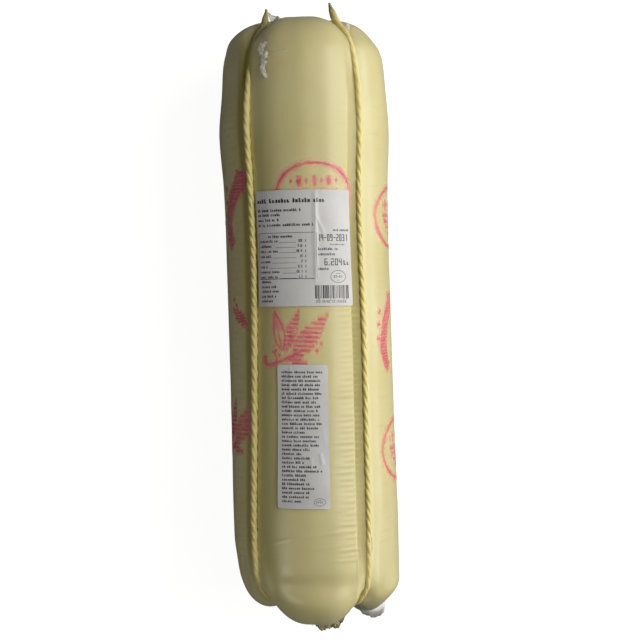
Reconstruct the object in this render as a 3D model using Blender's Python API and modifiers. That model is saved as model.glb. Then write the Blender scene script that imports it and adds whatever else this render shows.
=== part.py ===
"""A whole salame-shaped provolone cheese in its shrunk film, lying on its side.

The cheese is a long log with round ends. Four tying cords run along it and press grooves into it,
so that it bulges as four lobes. Two paper labels lie on the upper lobe, and the film that wraps
the cheese stands free in a few crumpled folds. Metres, +Z up, the log along Y, with the cords'
free tails at +Y and the knotted end at -Y.
"""

import math

import bmesh
import bpy
import numpy as np
from mathutils import Vector
from mathutils.bvhtree import BVHTree

# ---------------------------------------------------------------- driving dimensions
LOBE_RADIUS = 0.0625  # from the log's axis to the crest of a lobe, at mid length
AXIS_HEIGHT = 0.0602  # of the log's axis above the surface it lies on; less than a lobe's radius
TOP_Y = 0.2290  # the flat of the end with the cord tails
TOP_CAP = 0.0505  # length of the rounded top end
TOP_ROUNDNESS = 3.1  # exponent of that end's super-ellipse: 2 is an ellipse, more is squarer
TOP_DIMPLE = 0.0050
TOP_DIMPLE_SPREAD = 0.0125
BOTTOM_Y = -0.2160  # the lobes' tips at the knotted end
BOTTOM_CAP = 0.0340
BOTTOM_TIP = 0.60  # share of the radius at which a lobe's tip stands out furthest
BOTTOM_RECESS = 0.0110  # of the pole behind the lobes' tips
UPPER_LOBE_REACH = 0.0095  # how much further than the left lobe's tip the upper one's reaches
RIGHT_LOBE_REACH = 0.0045

TOP_SWELL = 0.042  # the log is this share thicker here than at mid length
TOP_SWELL_Y = 0.144
TOP_SWELL_SPREAD = 0.033
BOTTOM_SWELL = 0.012
BOTTOM_SWELL_Y = -0.150
BOTTOM_SWELL_SPREAD = 0.045

GROOVE_DEPTH = 0.085  # share of the radius that a cord presses in, along the log
GROOVE_DEPTH_TOP = 0.125  # and over each end
GROOVE_DEPTH_BOTTOM = 0.105
GROOVE_SHARPNESS = 6.0  # higher makes the groove narrower and the lobe fuller
GROOVE_SHARPNESS_BOTTOM = 3.2
TOP_PULL = 0.20  # share of the distance past a cap's rim that a cord pulls in over the end
BOTTOM_PULL = 0.50
TWIST = math.radians(5.0)  # of the grooves, from the top end to the bottom end
LEFT_BOW = math.radians(3.2)  # of the upper left groove towards the upper lobe
LEFT_BOW_FROM = -0.170  # y where it starts, and where it is full
LEFT_BOW_FULL = -0.030
LEFT_BULGE = math.radians(1.8)  # and a little more of the same about mid length
LEFT_BULGE_Y = 0.035
LEFT_BULGE_SPREAD = 0.055
RIGHT_BOW = math.radians(2.2)  # of the upper right groove towards the upper lobe
RIGHT_BOW_FROM = -0.030
RIGHT_BOW_FULL = 0.090

CORD_RADIUS = 0.0021
CLEARANCE = 0.0004  # between pieces that touch
TAIL_LEAVES_RADIUS = 0.0430  # distance from the axis at which a cord leaves its groove
CORD_START_RADIUS = 0.0130  # distance from the axis at which a cord meets the knot

KNOT_IN = -0.2055  # y of the knotted tail's root, in the recess at the bottom pole
KNOT_OUT = -0.2395  # and of its free end
KNOT_ROOT = 0.0065
KNOT_HALF_WIDTH = 0.0125  # at the free end
KNOT_HALF_HEIGHT = 0.0075
KNOT_LEAN = 0.0082  # sideways, of the free end

LABEL_GAP = 0.0005
LABEL_THICKNESS = 0.0003
FILM_THICKNESS = 0.0005
FILM_GAP = 0.0009  # between a free fold of film's middle and whatever it lies over
SEAM_PATH = (
    (-0.0200, 0.2318, 0.0895),
    (-0.0250, 0.2200, 0.0960),
    (-0.0265, 0.2040, 0.1090),
    (-0.0290, 0.1940, 0.1120),
    (-0.0295, 0.1800, 0.1130),
)
SEAM_HALF_WIDTH = (0.0034, 0.0024, 0.0030, 0.0046, 0.0026)
SEAM_CRUMPLE = 0.0010

COLUMNS = 56  # a multiple of 8, so that a column runs along each groove
RINGS = 46
CAP_RING_SHARE = 2.0  # rings lie this much closer together on the ends

FRONT_RIGHT = math.radians(45)  # grooves, measured from straight up towards +X
FRONT_LEFT = math.radians(-45)
BACK_RIGHT = math.radians(135)
BACK_LEFT = math.radians(-135)


LOW_RIM = BOTTOM_Y + BOTTOM_CAP
TOP_RIM = TOP_Y - TOP_CAP


# ---------------------------------------------------------------- the lobed log
def fade(x, low, high):
    """0 below low, 1 above high, and a smooth step between them."""
    t = min(max((x - low) / (high - low), 0.0), 1.0)
    return t * t * (3 - 2 * t)


def swell(y):
    """How much thicker than at mid length the log is at y, as a factor."""
    top = TOP_SWELL * np.exp(-(((y - TOP_SWELL_Y) / TOP_SWELL_SPREAD) ** 2))
    bottom = BOTTOM_SWELL * np.exp(-(((y - BOTTOM_SWELL_Y) / BOTTOM_SWELL_SPREAD) ** 2))
    return 1 + top + bottom


def top_outline(steps=200):
    """(share of the radius, distance past the rim) from the top cap's rim to its pole."""
    turn = np.linspace(0, math.pi / 2, steps)
    power = 2 / TOP_ROUNDNESS
    share, out = np.cos(turn).clip(0) ** power, TOP_CAP * np.sin(turn) ** power
    dimple = TOP_DIMPLE * np.exp(-((share * LOBE_RADIUS / TOP_DIMPLE_SPREAD) ** 2))
    return share, out - dimple


def bottom_outline(steps=120):
    """The same from the bottom cap's rim, round a lobe's tip and into the recess at the pole."""
    turn = np.linspace(0, math.pi / 2, steps)
    share, out = BOTTOM_TIP + (1 - BOTTOM_TIP) * np.cos(turn), BOTTOM_CAP * np.sin(turn)
    inward = np.linspace(0, 1, steps)[1:]
    recess = BOTTOM_RECESS * (1 - np.cos(math.pi * inward)) / 2
    share = np.concatenate([share, BOTTOM_TIP * (1 - inward)])
    return share, np.concatenate([out, BOTTOM_CAP - recess])


def crest_outline():
    """The outline of a lobe's crest as (radius, y, how far along), from the bottom to the top."""
    low_share, low_out = bottom_outline()
    top_share, top_out = top_outline()
    body_y = np.linspace(LOW_RIM, TOP_RIM, 200)[1:-1]
    y = np.concatenate([(LOW_RIM - low_out)[::-1], body_y, TOP_RIM + top_out])
    share = np.concatenate([low_share[::-1], np.ones(len(body_y)), top_share])
    radius = share * LOBE_RADIUS * swell(y)
    step = np.hypot(np.diff(radius), np.diff(y))
    middle = (y[1:] + y[:-1]) / 2
    step *= np.where((middle < LOW_RIM) | (middle > TOP_RIM), CAP_RING_SHARE, 1.0)
    along = np.concatenate([[0], np.cumsum(step)])
    return radius, y, along / along[-1]


CREST_RADIUS, CREST_Y, CREST_ALONG = crest_outline()


def along_at(y):
    """Where on the crest's outline a given y lies, for a y between the two rims."""
    inner = (CREST_Y >= LOW_RIM) & (CREST_Y <= TOP_RIM)
    return float(np.interp(y, CREST_Y[inner], CREST_ALONG[inner]))


def towards_end(y):
    """(to the top, to the bottom): each 0 along the log and 1 well onto that end."""
    top = fade(y, TOP_Y - 1.9 * TOP_CAP, TOP_Y - 0.4 * TOP_CAP)
    return top, fade(-y, -BOTTOM_Y - 2.2 * BOTTOM_CAP, -BOTTOM_Y - 0.5 * BOTTOM_CAP)


def groove_depth(y):
    """The share of the radius that a cord has pressed in at y."""
    top, bottom = towards_end(y)
    depth = GROOVE_DEPTH + (GROOVE_DEPTH_TOP - GROOVE_DEPTH) * top
    return depth + (GROOVE_DEPTH_BOTTOM - GROOVE_DEPTH) * bottom


def groove_share(angle, y):
    """1 in a groove and 0 on a lobe's crest, for an angle before twist and bows."""
    quarter = math.pi / 2
    from_groove = abs((angle % quarter) - quarter / 2) / (quarter / 2)
    bottom = towards_end(y)[1]
    sharpness = GROOVE_SHARPNESS + (GROOVE_SHARPNESS_BOTTOM - GROOVE_SHARPNESS) * bottom
    return (1 - from_groove) ** sharpness


def section(along, angle):
    """(radius, y) of the log's surface, before its round turn about the axis."""
    crest = float(np.interp(along, CREST_ALONG, CREST_RADIUS))
    y = float(np.interp(along, CREST_ALONG, CREST_Y))
    off_pole = fade(crest, 0.08 * LOBE_RADIUS, 0.55 * LOBE_RADIUS)
    share = groove_share(angle, y) * off_pole
    radius = crest * (1 - groove_depth(y) * share)
    past_top, past_low = max(y - TOP_RIM, 0), max(LOW_RIM - y, 0)
    reach = UPPER_LOBE_REACH * max(math.cos(angle), 0) + RIGHT_LOBE_REACH * max(math.sin(angle), 0)
    y -= reach * off_pole * past_low / BOTTOM_CAP
    y += share * (BOTTOM_PULL * past_low - TOP_PULL * past_top)
    return radius, y


def place(radius, y, angle):
    """A point at that radius from the log's axis, with the grooves' twist and bows."""
    real = angle - TWIST * (0.5 - y / (TOP_Y - BOTTOM_Y))
    beside = math.sin(2 * angle) ** 2
    if -math.pi / 2 < angle < 0:
        bulge = LEFT_BULGE * math.exp(-(((y - LEFT_BULGE_Y) / LEFT_BULGE_SPREAD) ** 2))
        real += beside * (LEFT_BOW * fade(y, LEFT_BOW_FROM, LEFT_BOW_FULL) + bulge)
    elif 0 < angle < math.pi / 2:
        real -= beside * RIGHT_BOW * fade(y, RIGHT_BOW_FROM, RIGHT_BOW_FULL)
    return Vector((radius * math.sin(real), y, AXIS_HEIGHT + radius * math.cos(real)))


# ---------------------------------------------------------------- modelling helpers
def clear_scene():
    for obj in list(bpy.data.objects):
        bpy.data.objects.remove(obj, do_unlink=True)


def material(name, colour, roughness):
    made = bpy.data.materials.new(name)
    made.use_nodes = True
    shader = made.node_tree.nodes["Principled BSDF"]
    shader.inputs["Base Color"].default_value = (*colour, 1)
    shader.inputs["Roughness"].default_value = roughness
    shader.inputs["Metallic"].default_value = 0
    return made


def mesh_object(name, shape, collection, look):
    mesh = bpy.data.meshes.new(name)
    shape.to_mesh(mesh)
    shape.free()
    obj = bpy.data.objects.new(name, mesh)
    collection.objects.link(obj)
    mesh.materials.append(look)
    mesh.shade_smooth()
    return obj


def thicken(obj, thickness, offset):
    """Gives an open sheet its thickness: offset 1 grows it along its normals, 0 to both sides."""
    modifier = obj.modifiers.new("thickness", "SOLIDIFY")
    modifier.thickness = thickness
    modifier.offset = offset


def surface_tree(obj):
    """The finished faces of an object, to measure distances to."""
    bpy.context.view_layer.update()
    return BVHTree.FromObject(obj, bpy.context.evaluated_depsgraph_get())


def push_clear(point, trees, gap):
    """Moves a point until it lies at least the gap outside each of the surfaces."""
    for _ in range(6):
        for tree in trees:
            near, normal, _, _ = tree.find_nearest(point)
            distance = (point - near).dot(normal)
            if distance < gap:
                point = point + normal * (gap - distance)
    return point


# ---------------------------------------------------------------- the pieces
def make_cheese(collection, look):
    """A sphere's rings and columns drawn out into the lobed log, flat where it lies."""
    shape = bmesh.new()
    bmesh.ops.create_uvsphere(shape, u_segments=COLUMNS, v_segments=RINGS, radius=1)
    for vertex in shape.verts:
        along = 1 - math.acos(max(-1.0, min(1.0, vertex.co.z))) / math.pi
        angle = math.atan2(vertex.co.y, vertex.co.x)
        point = place(*section(along, angle), angle)
        point.z = max(point.z, 0.0)
        vertex.co = point
    return mesh_object("cheese", shape, collection, look)


def cord_in_groove(along, angle):
    """(radius, y) of a cord's middle where it rests on both flanks of its groove."""
    step = 0.004
    low = section(max(along - step, 0), angle)
    high = section(min(along + step, 1), angle)
    out = Vector((high[1] - low[1], low[0] - high[0])).normalized()
    floor = Vector(section(along, angle))
    side = math.radians(6)
    flank = Vector(section(along, angle + side)) - floor
    rise = max(flank.dot(out), 0) / (floor.x * side)
    lift = (CORD_RADIUS + CLEARANCE) * math.hypot(1, rise)
    return tuple(floor + out * lift)


def cord_line(angle, tip_radius, tip_y):
    """The cord's middle line, from the knot up its groove to the tip of its free tail."""
    start = 0.01
    while cord_in_groove(start, angle)[0] < CORD_START_RADIUS:
        start += 0.001
    leave = 0.99
    while cord_in_groove(leave, angle)[0] < TAIL_LEAVES_RADIUS:
        leave -= 0.001
    line = [cord_in_groove(along, angle) for along in np.linspace(start, leave, 36)]
    last, before = Vector(line[-1]), Vector(line[-2])
    tip = Vector((tip_radius, tip_y))
    bend = last + (last - before).normalized() * (tip - last).length * 0.40
    for step in np.linspace(0, 1, 7)[1:]:
        line.append(tuple(last * (1 - step) ** 2 + bend * 2 * step * (1 - step) + tip * step**2))
    return line


def make_cord(name, angle, tip_radius, tip_y, collection, look):
    points = [place(radius, y, angle) for radius, y in cord_line(angle, tip_radius, tip_y)]
    curve = bpy.data.curves.new(name, "CURVE")
    curve.dimensions = "3D"
    spline = curve.splines.new("POLY")
    spline.points.add(len(points) - 1)
    for control, point in zip(spline.points, points):
        control.co = (*point, 1)
    curve.bevel_depth = CORD_RADIUS
    curve.bevel_resolution = 2
    curve.use_fill_caps = True
    curve.materials.append(look)
    obj = bpy.data.objects.new(name, curve)
    collection.objects.link(obj)
    return obj


def make_knot(collection, look, cheese):
    """The gathered, tied film at the bottom pole: a pleated tail that flares and leans aside."""
    clear = [surface_tree(cheese)]
    shape = bmesh.new()
    bmesh.ops.create_uvsphere(shape, u_segments=20, v_segments=12, radius=1)
    for vertex in shape.verts:
        out = math.acos(max(-1.0, min(1.0, vertex.co.z))) / math.pi
        angle = math.atan2(vertex.co.y, vertex.co.x)
        flare = fade(out, 0.35, 0.85)
        body = math.sin(math.pi * out) ** 0.45
        pleat = 1 + 0.10 * math.cos(5 * angle + 0.6) * flare
        half_x = KNOT_ROOT + (KNOT_HALF_WIDTH - KNOT_ROOT) * flare
        half_z = KNOT_ROOT + (KNOT_HALF_HEIGHT - KNOT_ROOT) * flare
        x = KNOT_LEAN * flare + half_x * body * pleat * math.cos(angle)
        z = AXIS_HEIGHT + half_z * body * pleat * math.sin(angle)
        vertex.co = push_clear(Vector((x, KNOT_IN + (KNOT_OUT - KNOT_IN) * out, z)), clear, CLEARANCE)
    bmesh.ops.reverse_faces(shape, faces=shape.faces)
    return mesh_object("bottom_knot", shape, collection, look)


def label_point(angle, y, lift):
    """A point of a label: it follows the lobe, and runs on straight over a groove's flank."""
    fold = math.radians(33)
    step = math.radians(1.5)
    inside = max(-fold, min(fold, angle))
    along = along_at(y)
    edge, _ = section(along, inside)
    inner, _ = section(along, inside - math.copysign(step, angle))
    radius = edge + (edge - inner) / step * abs(angle - inside)
    return place(radius + lift, y, angle)


def make_label(name, side_low, side_high, y_low, y_high, slope, collection, look):
    """A sheet of paper bent round the upper lobe, between two angles given in degrees."""
    sheet = bmesh.new()
    bmesh.ops.create_grid(sheet, x_segments=14, y_segments=6, size=1)
    for vertex in sheet.verts:
        angle = side_low + (vertex.co.x + 1) / 2 * (side_high - side_low)
        along_arc = math.radians(vertex.co.x * (side_high - side_low) / 2) * LOBE_RADIUS
        y = y_low + (vertex.co.y + 1) / 2 * (y_high - y_low) + slope * along_arc
        vertex.co = label_point(math.radians(angle), y, LABEL_GAP)
    obj = mesh_object(name, sheet, collection, look)
    thicken(obj, LABEL_THICKNESS, 1)
    return obj


def make_seam(collection, look, clear):
    """The sleeve's seam: a crumpled strip from the upper left cord's tip over the lobe's shoulder."""
    path = [Vector(point) for point in SEAM_PATH]
    sheet = bmesh.new()
    bmesh.ops.create_grid(sheet, x_segments=5, y_segments=20, size=1)
    for vertex in sheet.verts:
        walk = (vertex.co.y + 1) / 2 * (len(path) - 1.001)
        index = int(walk)
        middle = path[index].lerp(path[index + 1], walk - index)
        half = SEAM_HALF_WIDTH[index] * (1 - walk + index) + SEAM_HALF_WIDTH[index + 1] * (walk - index)
        out = Vector((middle.x, 0, middle.z - AXIS_HEIGHT)).normalized()
        across = Vector((out.z, 0, -out.x))
        point = push_clear(middle + across * vertex.co.x * half, clear, FILM_GAP)
        crumple = 1 + math.sin(walk * 7.3 + vertex.co.x * 2.2)
        vertex.co = push_clear(point + out * SEAM_CRUMPLE * crumple, clear, FILM_GAP)
    obj = mesh_object("film_seam_top", sheet, collection, look)
    thicken(obj, FILM_THICKNESS, 0)
    return obj


def make_fold(name, root, reach, width, crumple, collection, look, clear):
    """A free flap of film: it stands from a root point along reach, and is as wide as width."""
    normal = reach.cross(width).normalized()
    sheet = bmesh.new()
    bmesh.ops.create_grid(sheet, x_segments=6, y_segments=5, size=1)
    for vertex in sheet.verts:
        across, out = vertex.co.x, (vertex.co.y + 1) / 2
        narrow = 1 - 0.35 * out**2
        wave = crumple * math.sin(across * 4.2 + out * 1.5) * (0.4 + out)
        ragged = 1 + 0.16 * math.sin(across * 5 + 1) * out
        point = root + reach * out * ragged + width * across * narrow + normal * wave
        vertex.co = push_clear(point, clear, FILM_GAP)
    obj = mesh_object(name, sheet, collection, look)
    thicken(obj, FILM_THICKNESS, 0)
    return obj


def main():
    clear_scene()
    collection = bpy.data.collections.new("provolone")
    bpy.context.scene.collection.children.link(collection)
    rind = material("cheese_rind", (0.80, 0.71, 0.40), 0.35)
    twine = material("twine", (0.76, 0.64, 0.27), 0.6)
    paper = material("label_paper", (0.80, 0.80, 0.79), 0.5)
    film = material("clear_film", (0.72, 0.71, 0.66), 0.2)
    cheese = make_cheese(collection, rind)
    right = make_cord("cord_front_right", FRONT_RIGHT, 0.0301, 0.2370, collection, twine)
    left = make_cord("cord_front_left", FRONT_LEFT, 0.0380, 0.2330, collection, twine)
    make_cord("cord_back_right", BACK_RIGHT, 0.0330, 0.2285, collection, twine)
    make_cord("cord_back_left", BACK_LEFT, 0.0250, 0.2370, collection, twine)
    make_knot(collection, film, cheese)
    make_label("label_large", -37.9, 33.6, 0.0104, 0.0948, -0.015, collection, paper)
    make_label("label_small", -21.2, 14.1, -0.1364, -0.0320, -0.030, collection, paper)
    make_seam(collection, film, [surface_tree(cheese), surface_tree(left)])
    clear = [surface_tree(cheese), surface_tree(right)]
    root = Vector((0.0345, 0.2150, 0.0920))
    reach, width = Vector((0.0005, 0.0055, 0.0005)), Vector((0.0024, -0.0010, -0.0010))
    make_fold("film_corner_top", root, reach, width, 0.0004, collection, film, clear)
    root = Vector((0.0405, -0.2170, 0.0600))
    reach, width = Vector((0.0010, -0.0100, -0.0010)), Vector((0.0095, 0.0020, -0.0030))
    make_fold("film_tail_bottom", root, reach, width, 0.0012, collection, film, clear)


main()
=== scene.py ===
"""The looks of a whole salame-shaped provolone cheese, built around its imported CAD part.

The cheese lies on its side in clear shrunk film, tied with four cords, with two labels on the
upper lobe. Everything is in metres in the part's own frame: the log along Y, +Z up.
"""

import math

import bpy
import numpy as np
from mathutils import Matrix, Vector
from mathutils.bvhtree import BVHTree


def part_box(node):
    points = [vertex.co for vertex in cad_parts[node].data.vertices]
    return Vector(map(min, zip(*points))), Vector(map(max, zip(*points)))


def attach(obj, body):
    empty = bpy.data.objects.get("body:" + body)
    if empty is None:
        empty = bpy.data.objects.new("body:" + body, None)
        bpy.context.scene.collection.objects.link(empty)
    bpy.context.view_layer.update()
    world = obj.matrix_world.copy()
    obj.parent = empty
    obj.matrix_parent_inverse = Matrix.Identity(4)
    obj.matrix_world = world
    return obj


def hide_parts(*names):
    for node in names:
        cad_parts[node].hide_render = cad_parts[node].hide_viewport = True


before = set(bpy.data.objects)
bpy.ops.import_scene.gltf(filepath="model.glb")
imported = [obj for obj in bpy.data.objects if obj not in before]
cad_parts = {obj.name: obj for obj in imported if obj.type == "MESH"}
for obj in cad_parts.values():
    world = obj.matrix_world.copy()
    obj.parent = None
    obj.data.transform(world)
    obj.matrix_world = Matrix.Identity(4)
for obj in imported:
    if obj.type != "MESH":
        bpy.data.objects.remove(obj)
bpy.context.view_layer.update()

MM = 0.001

# ---------------------------------------------------------------- the log's dimensions, as in CAD
LOBE_RADIUS = 0.0625
AXIS_HEIGHT = 0.0602
TOP_Y = 0.2290
TOP_CAP = 0.0505
TOP_ROUNDNESS = 3.1
TOP_DIMPLE = 0.0050
TOP_DIMPLE_SPREAD = 0.0125
BOTTOM_Y = -0.2160
BOTTOM_CAP = 0.0340
BOTTOM_TIP = 0.60
BOTTOM_RECESS = 0.0110
UPPER_LOBE_REACH = 0.0095
RIGHT_LOBE_REACH = 0.0045
TOP_SWELL, TOP_SWELL_Y, TOP_SWELL_SPREAD = 0.042, 0.144, 0.033
BOTTOM_SWELL, BOTTOM_SWELL_Y, BOTTOM_SWELL_SPREAD = 0.012, -0.150, 0.045
GROOVE_DEPTH, GROOVE_DEPTH_TOP, GROOVE_DEPTH_BOTTOM = 0.085, 0.125, 0.105
GROOVE_SHARPNESS, GROOVE_SHARPNESS_BOTTOM = 6.0, 3.2
TOP_PULL, BOTTOM_PULL = 0.20, 0.50
TWIST = math.radians(5.0)
LEFT_BOW, LEFT_BOW_FROM, LEFT_BOW_FULL = math.radians(3.2), -0.170, -0.030
LEFT_BULGE, LEFT_BULGE_Y, LEFT_BULGE_SPREAD = math.radians(1.8), 0.035, 0.055
RIGHT_BOW, RIGHT_BOW_FROM, RIGHT_BOW_FULL = math.radians(2.2), -0.030, 0.090
CORD_RADIUS = 0.0021
CORD_CLEARANCE = 0.0004
CORD_ASIDE = 2.0  # degrees by which the front cords lie nearer to the upper lobe than their grooves
TAIL_LEAVES_RADIUS = 0.0430
CORD_START_RADIUS = 0.0055  # less than in CAD, so that the ends reach into the knot
LOW_RIM = BOTTOM_Y + BOTTOM_CAP
TOP_RIM = TOP_Y - TOP_CAP


# ---------------------------------------------------------------- the lobed log
def fade(x, low, high):
    """0 below low, 1 above high, and a smooth step between them."""
    t = np.clip((np.asarray(x, float) - low) / (high - low), 0, 1)
    return t * t * (3 - 2 * t)


def window(x, low, full, still, end):
    """A smooth step up from low to full, and down again from still to end."""
    return fade(x, low, full) * (1 - fade(x, still, end))


def bell(x, middle, spread):
    """1 at middle, falling off smoothly on both sides."""
    return np.exp(-(((x - middle) / spread) ** 2))


def unit(vectors):
    return vectors / np.linalg.norm(vectors, axis=-1, keepdims=True)


def join(*parts):
    """Arrays that broadcast, stacked on a new last axis."""
    return np.stack(np.broadcast_arrays(*parts), -1)


def wrap(angle):
    """The same angle between -pi and pi."""
    return (np.asarray(angle, float) + math.pi) % (2 * math.pi) - math.pi


def swell(y):
    """How much thicker than at mid length the log is at y, as a factor."""
    top = TOP_SWELL * bell(y, TOP_SWELL_Y, TOP_SWELL_SPREAD)
    return 1 + top + BOTTOM_SWELL * bell(y, BOTTOM_SWELL_Y, BOTTOM_SWELL_SPREAD)


def crest_outline(steps=400):
    """The outline of a lobe's crest, (radius, y), from the bottom pole to the top pole."""
    turn = np.linspace(0, math.pi / 2, steps)
    power = 2 / TOP_ROUNDNESS
    top_share, top_out = np.cos(turn).clip(0) ** power, TOP_CAP * np.sin(turn) ** power
    top_out = top_out - TOP_DIMPLE * bell(top_share * LOBE_RADIUS, 0, TOP_DIMPLE_SPREAD)
    low_share = BOTTOM_TIP + (1 - BOTTOM_TIP) * np.cos(turn)
    inward = np.linspace(0, 1, steps)[1:]
    low_share = np.concatenate([low_share, BOTTOM_TIP * (1 - inward)])
    recess = BOTTOM_RECESS * (1 - np.cos(math.pi * inward)) / 2
    low_out = np.concatenate([BOTTOM_CAP * np.sin(turn), BOTTOM_CAP - recess])
    body_y = np.linspace(LOW_RIM, TOP_RIM, steps)[1:-1]
    y = np.concatenate([(LOW_RIM - low_out)[::-1], body_y, TOP_RIM + top_out])
    share = np.concatenate([low_share[::-1], np.ones(len(body_y)), top_share])
    return share * LOBE_RADIUS * swell(y), y


CREST_RADIUS, CREST_Y = crest_outline()
_step = np.hypot(np.diff(CREST_RADIUS), np.diff(CREST_Y))
CREST_ALONG = np.concatenate([[0], np.cumsum(_step)]) / _step.sum()
_inner = (CREST_Y >= LOW_RIM) & (CREST_Y <= TOP_RIM)


def crest_level(along):
    return np.interp(along, CREST_ALONG, CREST_Y)


def along_at(y):
    """Where on the crest's outline a given y lies, for a y between the two rims."""
    return np.interp(y, CREST_Y[_inner], CREST_ALONG[_inner])


def towards_end(y):
    """0 to 1 where the solid's grooves deepen, near the top end and near the bottom end."""
    top = fade(y, TOP_Y - 1.9 * TOP_CAP, TOP_Y - 0.4 * TOP_CAP)
    return top, fade(-y, -BOTTOM_Y - 2.2 * BOTTOM_CAP, -BOTTOM_Y - 0.5 * BOTTOM_CAP)


def groove_depth(y):
    """The solid's groove depth at y, as a share of the radius."""
    top, bottom = towards_end(y)
    depth = GROOVE_DEPTH + (GROOVE_DEPTH_TOP - GROOVE_DEPTH) * top
    return depth + (GROOVE_DEPTH_BOTTOM - GROOVE_DEPTH) * bottom


def from_groove(angle):
    """0 in a groove and 1 on a lobe's crest."""
    quarter = math.pi / 2
    return abs((angle % quarter) - quarter / 2) / (quarter / 2)


def section(along, angle):
    """(radius, y) of the log's plain surface, before its round turn about the axis."""
    crest = np.interp(along, CREST_ALONG, CREST_RADIUS)
    y = crest_level(along)
    off_pole = fade(crest, 0.08 * LOBE_RADIUS, 0.55 * LOBE_RADIUS)
    sharpness = GROOVE_SHARPNESS + (GROOVE_SHARPNESS_BOTTOM - GROOVE_SHARPNESS) * towards_end(y)[1]
    share = (1 - from_groove(angle)) ** sharpness * off_pole
    radius = crest * (1 - groove_depth(y) * share)
    past_top, past_low = np.maximum(y - TOP_RIM, 0), np.maximum(LOW_RIM - y, 0)
    reach = UPPER_LOBE_REACH * np.maximum(np.cos(angle), 0)
    reach = reach + RIGHT_LOBE_REACH * np.maximum(np.sin(angle), 0)
    y = y - reach * off_pole * past_low / BOTTOM_CAP
    return radius, y + share * (BOTTOM_PULL * past_low - TOP_PULL * past_top)


def place(radius, y, angle):
    """Points at those radii from the axis, with the grooves' twist and the bows of the front two."""
    turn = wrap(angle)
    beside = np.sin(2 * turn) ** 2
    left = LEFT_BOW * fade(y, LEFT_BOW_FROM, LEFT_BOW_FULL)
    left = left + LEFT_BULGE * bell(y, LEFT_BULGE_Y, LEFT_BULGE_SPREAD)
    right = -RIGHT_BOW * fade(y, RIGHT_BOW_FROM, RIGHT_BOW_FULL)
    quarter = math.pi / 2
    bow = np.where((turn > -quarter) & (turn < 0), left, 0)
    bow = np.where((turn > 0) & (turn < quarter), right, bow)
    real = angle + beside * bow - TWIST * (0.5 - y / (TOP_Y - BOTTOM_Y))
    return np.stack([radius * np.sin(real), y, AXIS_HEIGHT + radius * np.cos(real)], -1)


def plain_normal(along, angle):
    """The plain surface's outward direction."""
    da, dt = 0.0012, 0.006
    low, high = np.clip(along - da, 0, 1), np.clip(along + da, 0, 1)
    on = place(*section(high, angle), angle) - place(*section(low, angle), angle)
    left, right = angle - dt, angle + dt
    round_ = place(*section(along, right), right) - place(*section(along, left), left)
    n = np.cross(round_, on)
    length = np.linalg.norm(n, axis=-1, keepdims=True)
    pole = np.zeros_like(n)
    pole[..., 1] = np.where(np.asarray(along) > 0.5, 1, -1)
    return np.where(length > 1e-9, n / np.maximum(length, 1e-12), pole)


# ---------------------------------------------------------------- wrinkles and lumps
def soft_noise(y, angle, cell_y, around, seed):
    """Smooth noise between -1 and 1 on the log, periodic round it: cells of cell_y by 1/around turn."""
    rows = int(0.6 / cell_y) + 4
    table = np.random.default_rng(seed).uniform(-1, 1, (rows, around))
    u = (y + 0.3) / cell_y
    v = (angle / (2 * math.pi)) % 1 * around
    i, j = np.floor(u).astype(int), np.floor(v).astype(int)
    fu, fv = u - i, v - j
    fu, fv = fu * fu * (3 - 2 * fu), fv * fv * (3 - 2 * fv)
    i, j = np.clip(i, 0, rows - 2), j % around
    k = (j + 1) % around
    low = table[i, j] * (1 - fv) + table[i, k] * fv
    high = table[i + 1, j] * (1 - fv) + table[i + 1, k] * fv
    return low * (1 - fu) + high * fu


def make_ridges():
    """Short cross wrinkles of the film: (y, angle, half angle, width, height, slope, bend) each."""
    rng = np.random.default_rng(7)
    found = []

    def band(y_low, y_high, angle, spread, gap, height, half, uneven=0.4):
        y = y_low
        while y < y_high:
            found.append(
                (
                    y,
                    math.radians(angle + rng.uniform(-spread, spread)),
                    math.radians(half * rng.uniform(0.75, 1.2)),
                    rng.uniform(0.75, 1.05) * MM,
                    height * rng.uniform(0.5, 1.0) * MM,
                    rng.uniform(-1.2, 1.2) * MM,
                    rng.uniform(0, 5) * MM,
                )
            )
            y += gap * rng.uniform(1 - uneven, 1 + uneven) * MM

    band(-0.176, 0.010, 30, 1.5, 4.3, 0.36, 13, 0.15)
    band(-0.176, -0.050, 24, 4, 8.6, 0.16, 13)
    band(0.100, 0.172, 31, 3, 7.0, 0.10, 8)
    band(-0.170, 0.150, -31, 4, 13.0, 0.10, 7)
    for lobe in (90, 180, -90):
        band(-0.175, 0.165, lobe + 29, 3, 4.8, 0.26, 9, 0.2)
        band(-0.175, 0.165, lobe - 29, 4, 9.0, 0.16, 8)
    return found


RIDGES = make_ridges()
# long creases: (y0, angle0, y1, angle1, half width, height), angles in degrees
CREASES = (
    (-0.1640, -34, -0.1510, 30, 0.9, 0.26),
    (-0.1700, -10, -0.1625, 24, 1.4, 0.12),
    (0.1905, -26, 0.1960, -12, 0.6, 0.30),
    (0.1430, -20, 0.1390, 14, 1.6, -0.12),
    (-0.1080, 98, -0.0900, 122, 1.0, 0.25),
    (0.0300, 160, 0.0180, 196, 1.0, 0.22),
    (0.0800, -70, 0.0700, -104, 1.1, 0.22),
)


DENT_DEPTH = 3.0 * MM  # the cross dent above the bottom end of the upper lobe
SKIN_DROP = 0.36 * MM  # keeps the highest wrinkles inside the solid's box


def beside_groove(turn, lobe, steep_from, steep_to, soft_from, soft_to):
    """1 beside a groove and 0 away from it, from angles in degrees measured from the groove."""
    off = np.degrees(wrap(turn - math.radians(lobe)))
    return window(off, steep_from, steep_to, soft_from, soft_to)


def towards_ends(y):
    """0 to 1 where the film bridges the grooves, near the top end and near the bottom end."""
    return fade(y, 0.130, 0.185), fade(-y, 0.165, 0.198)


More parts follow.
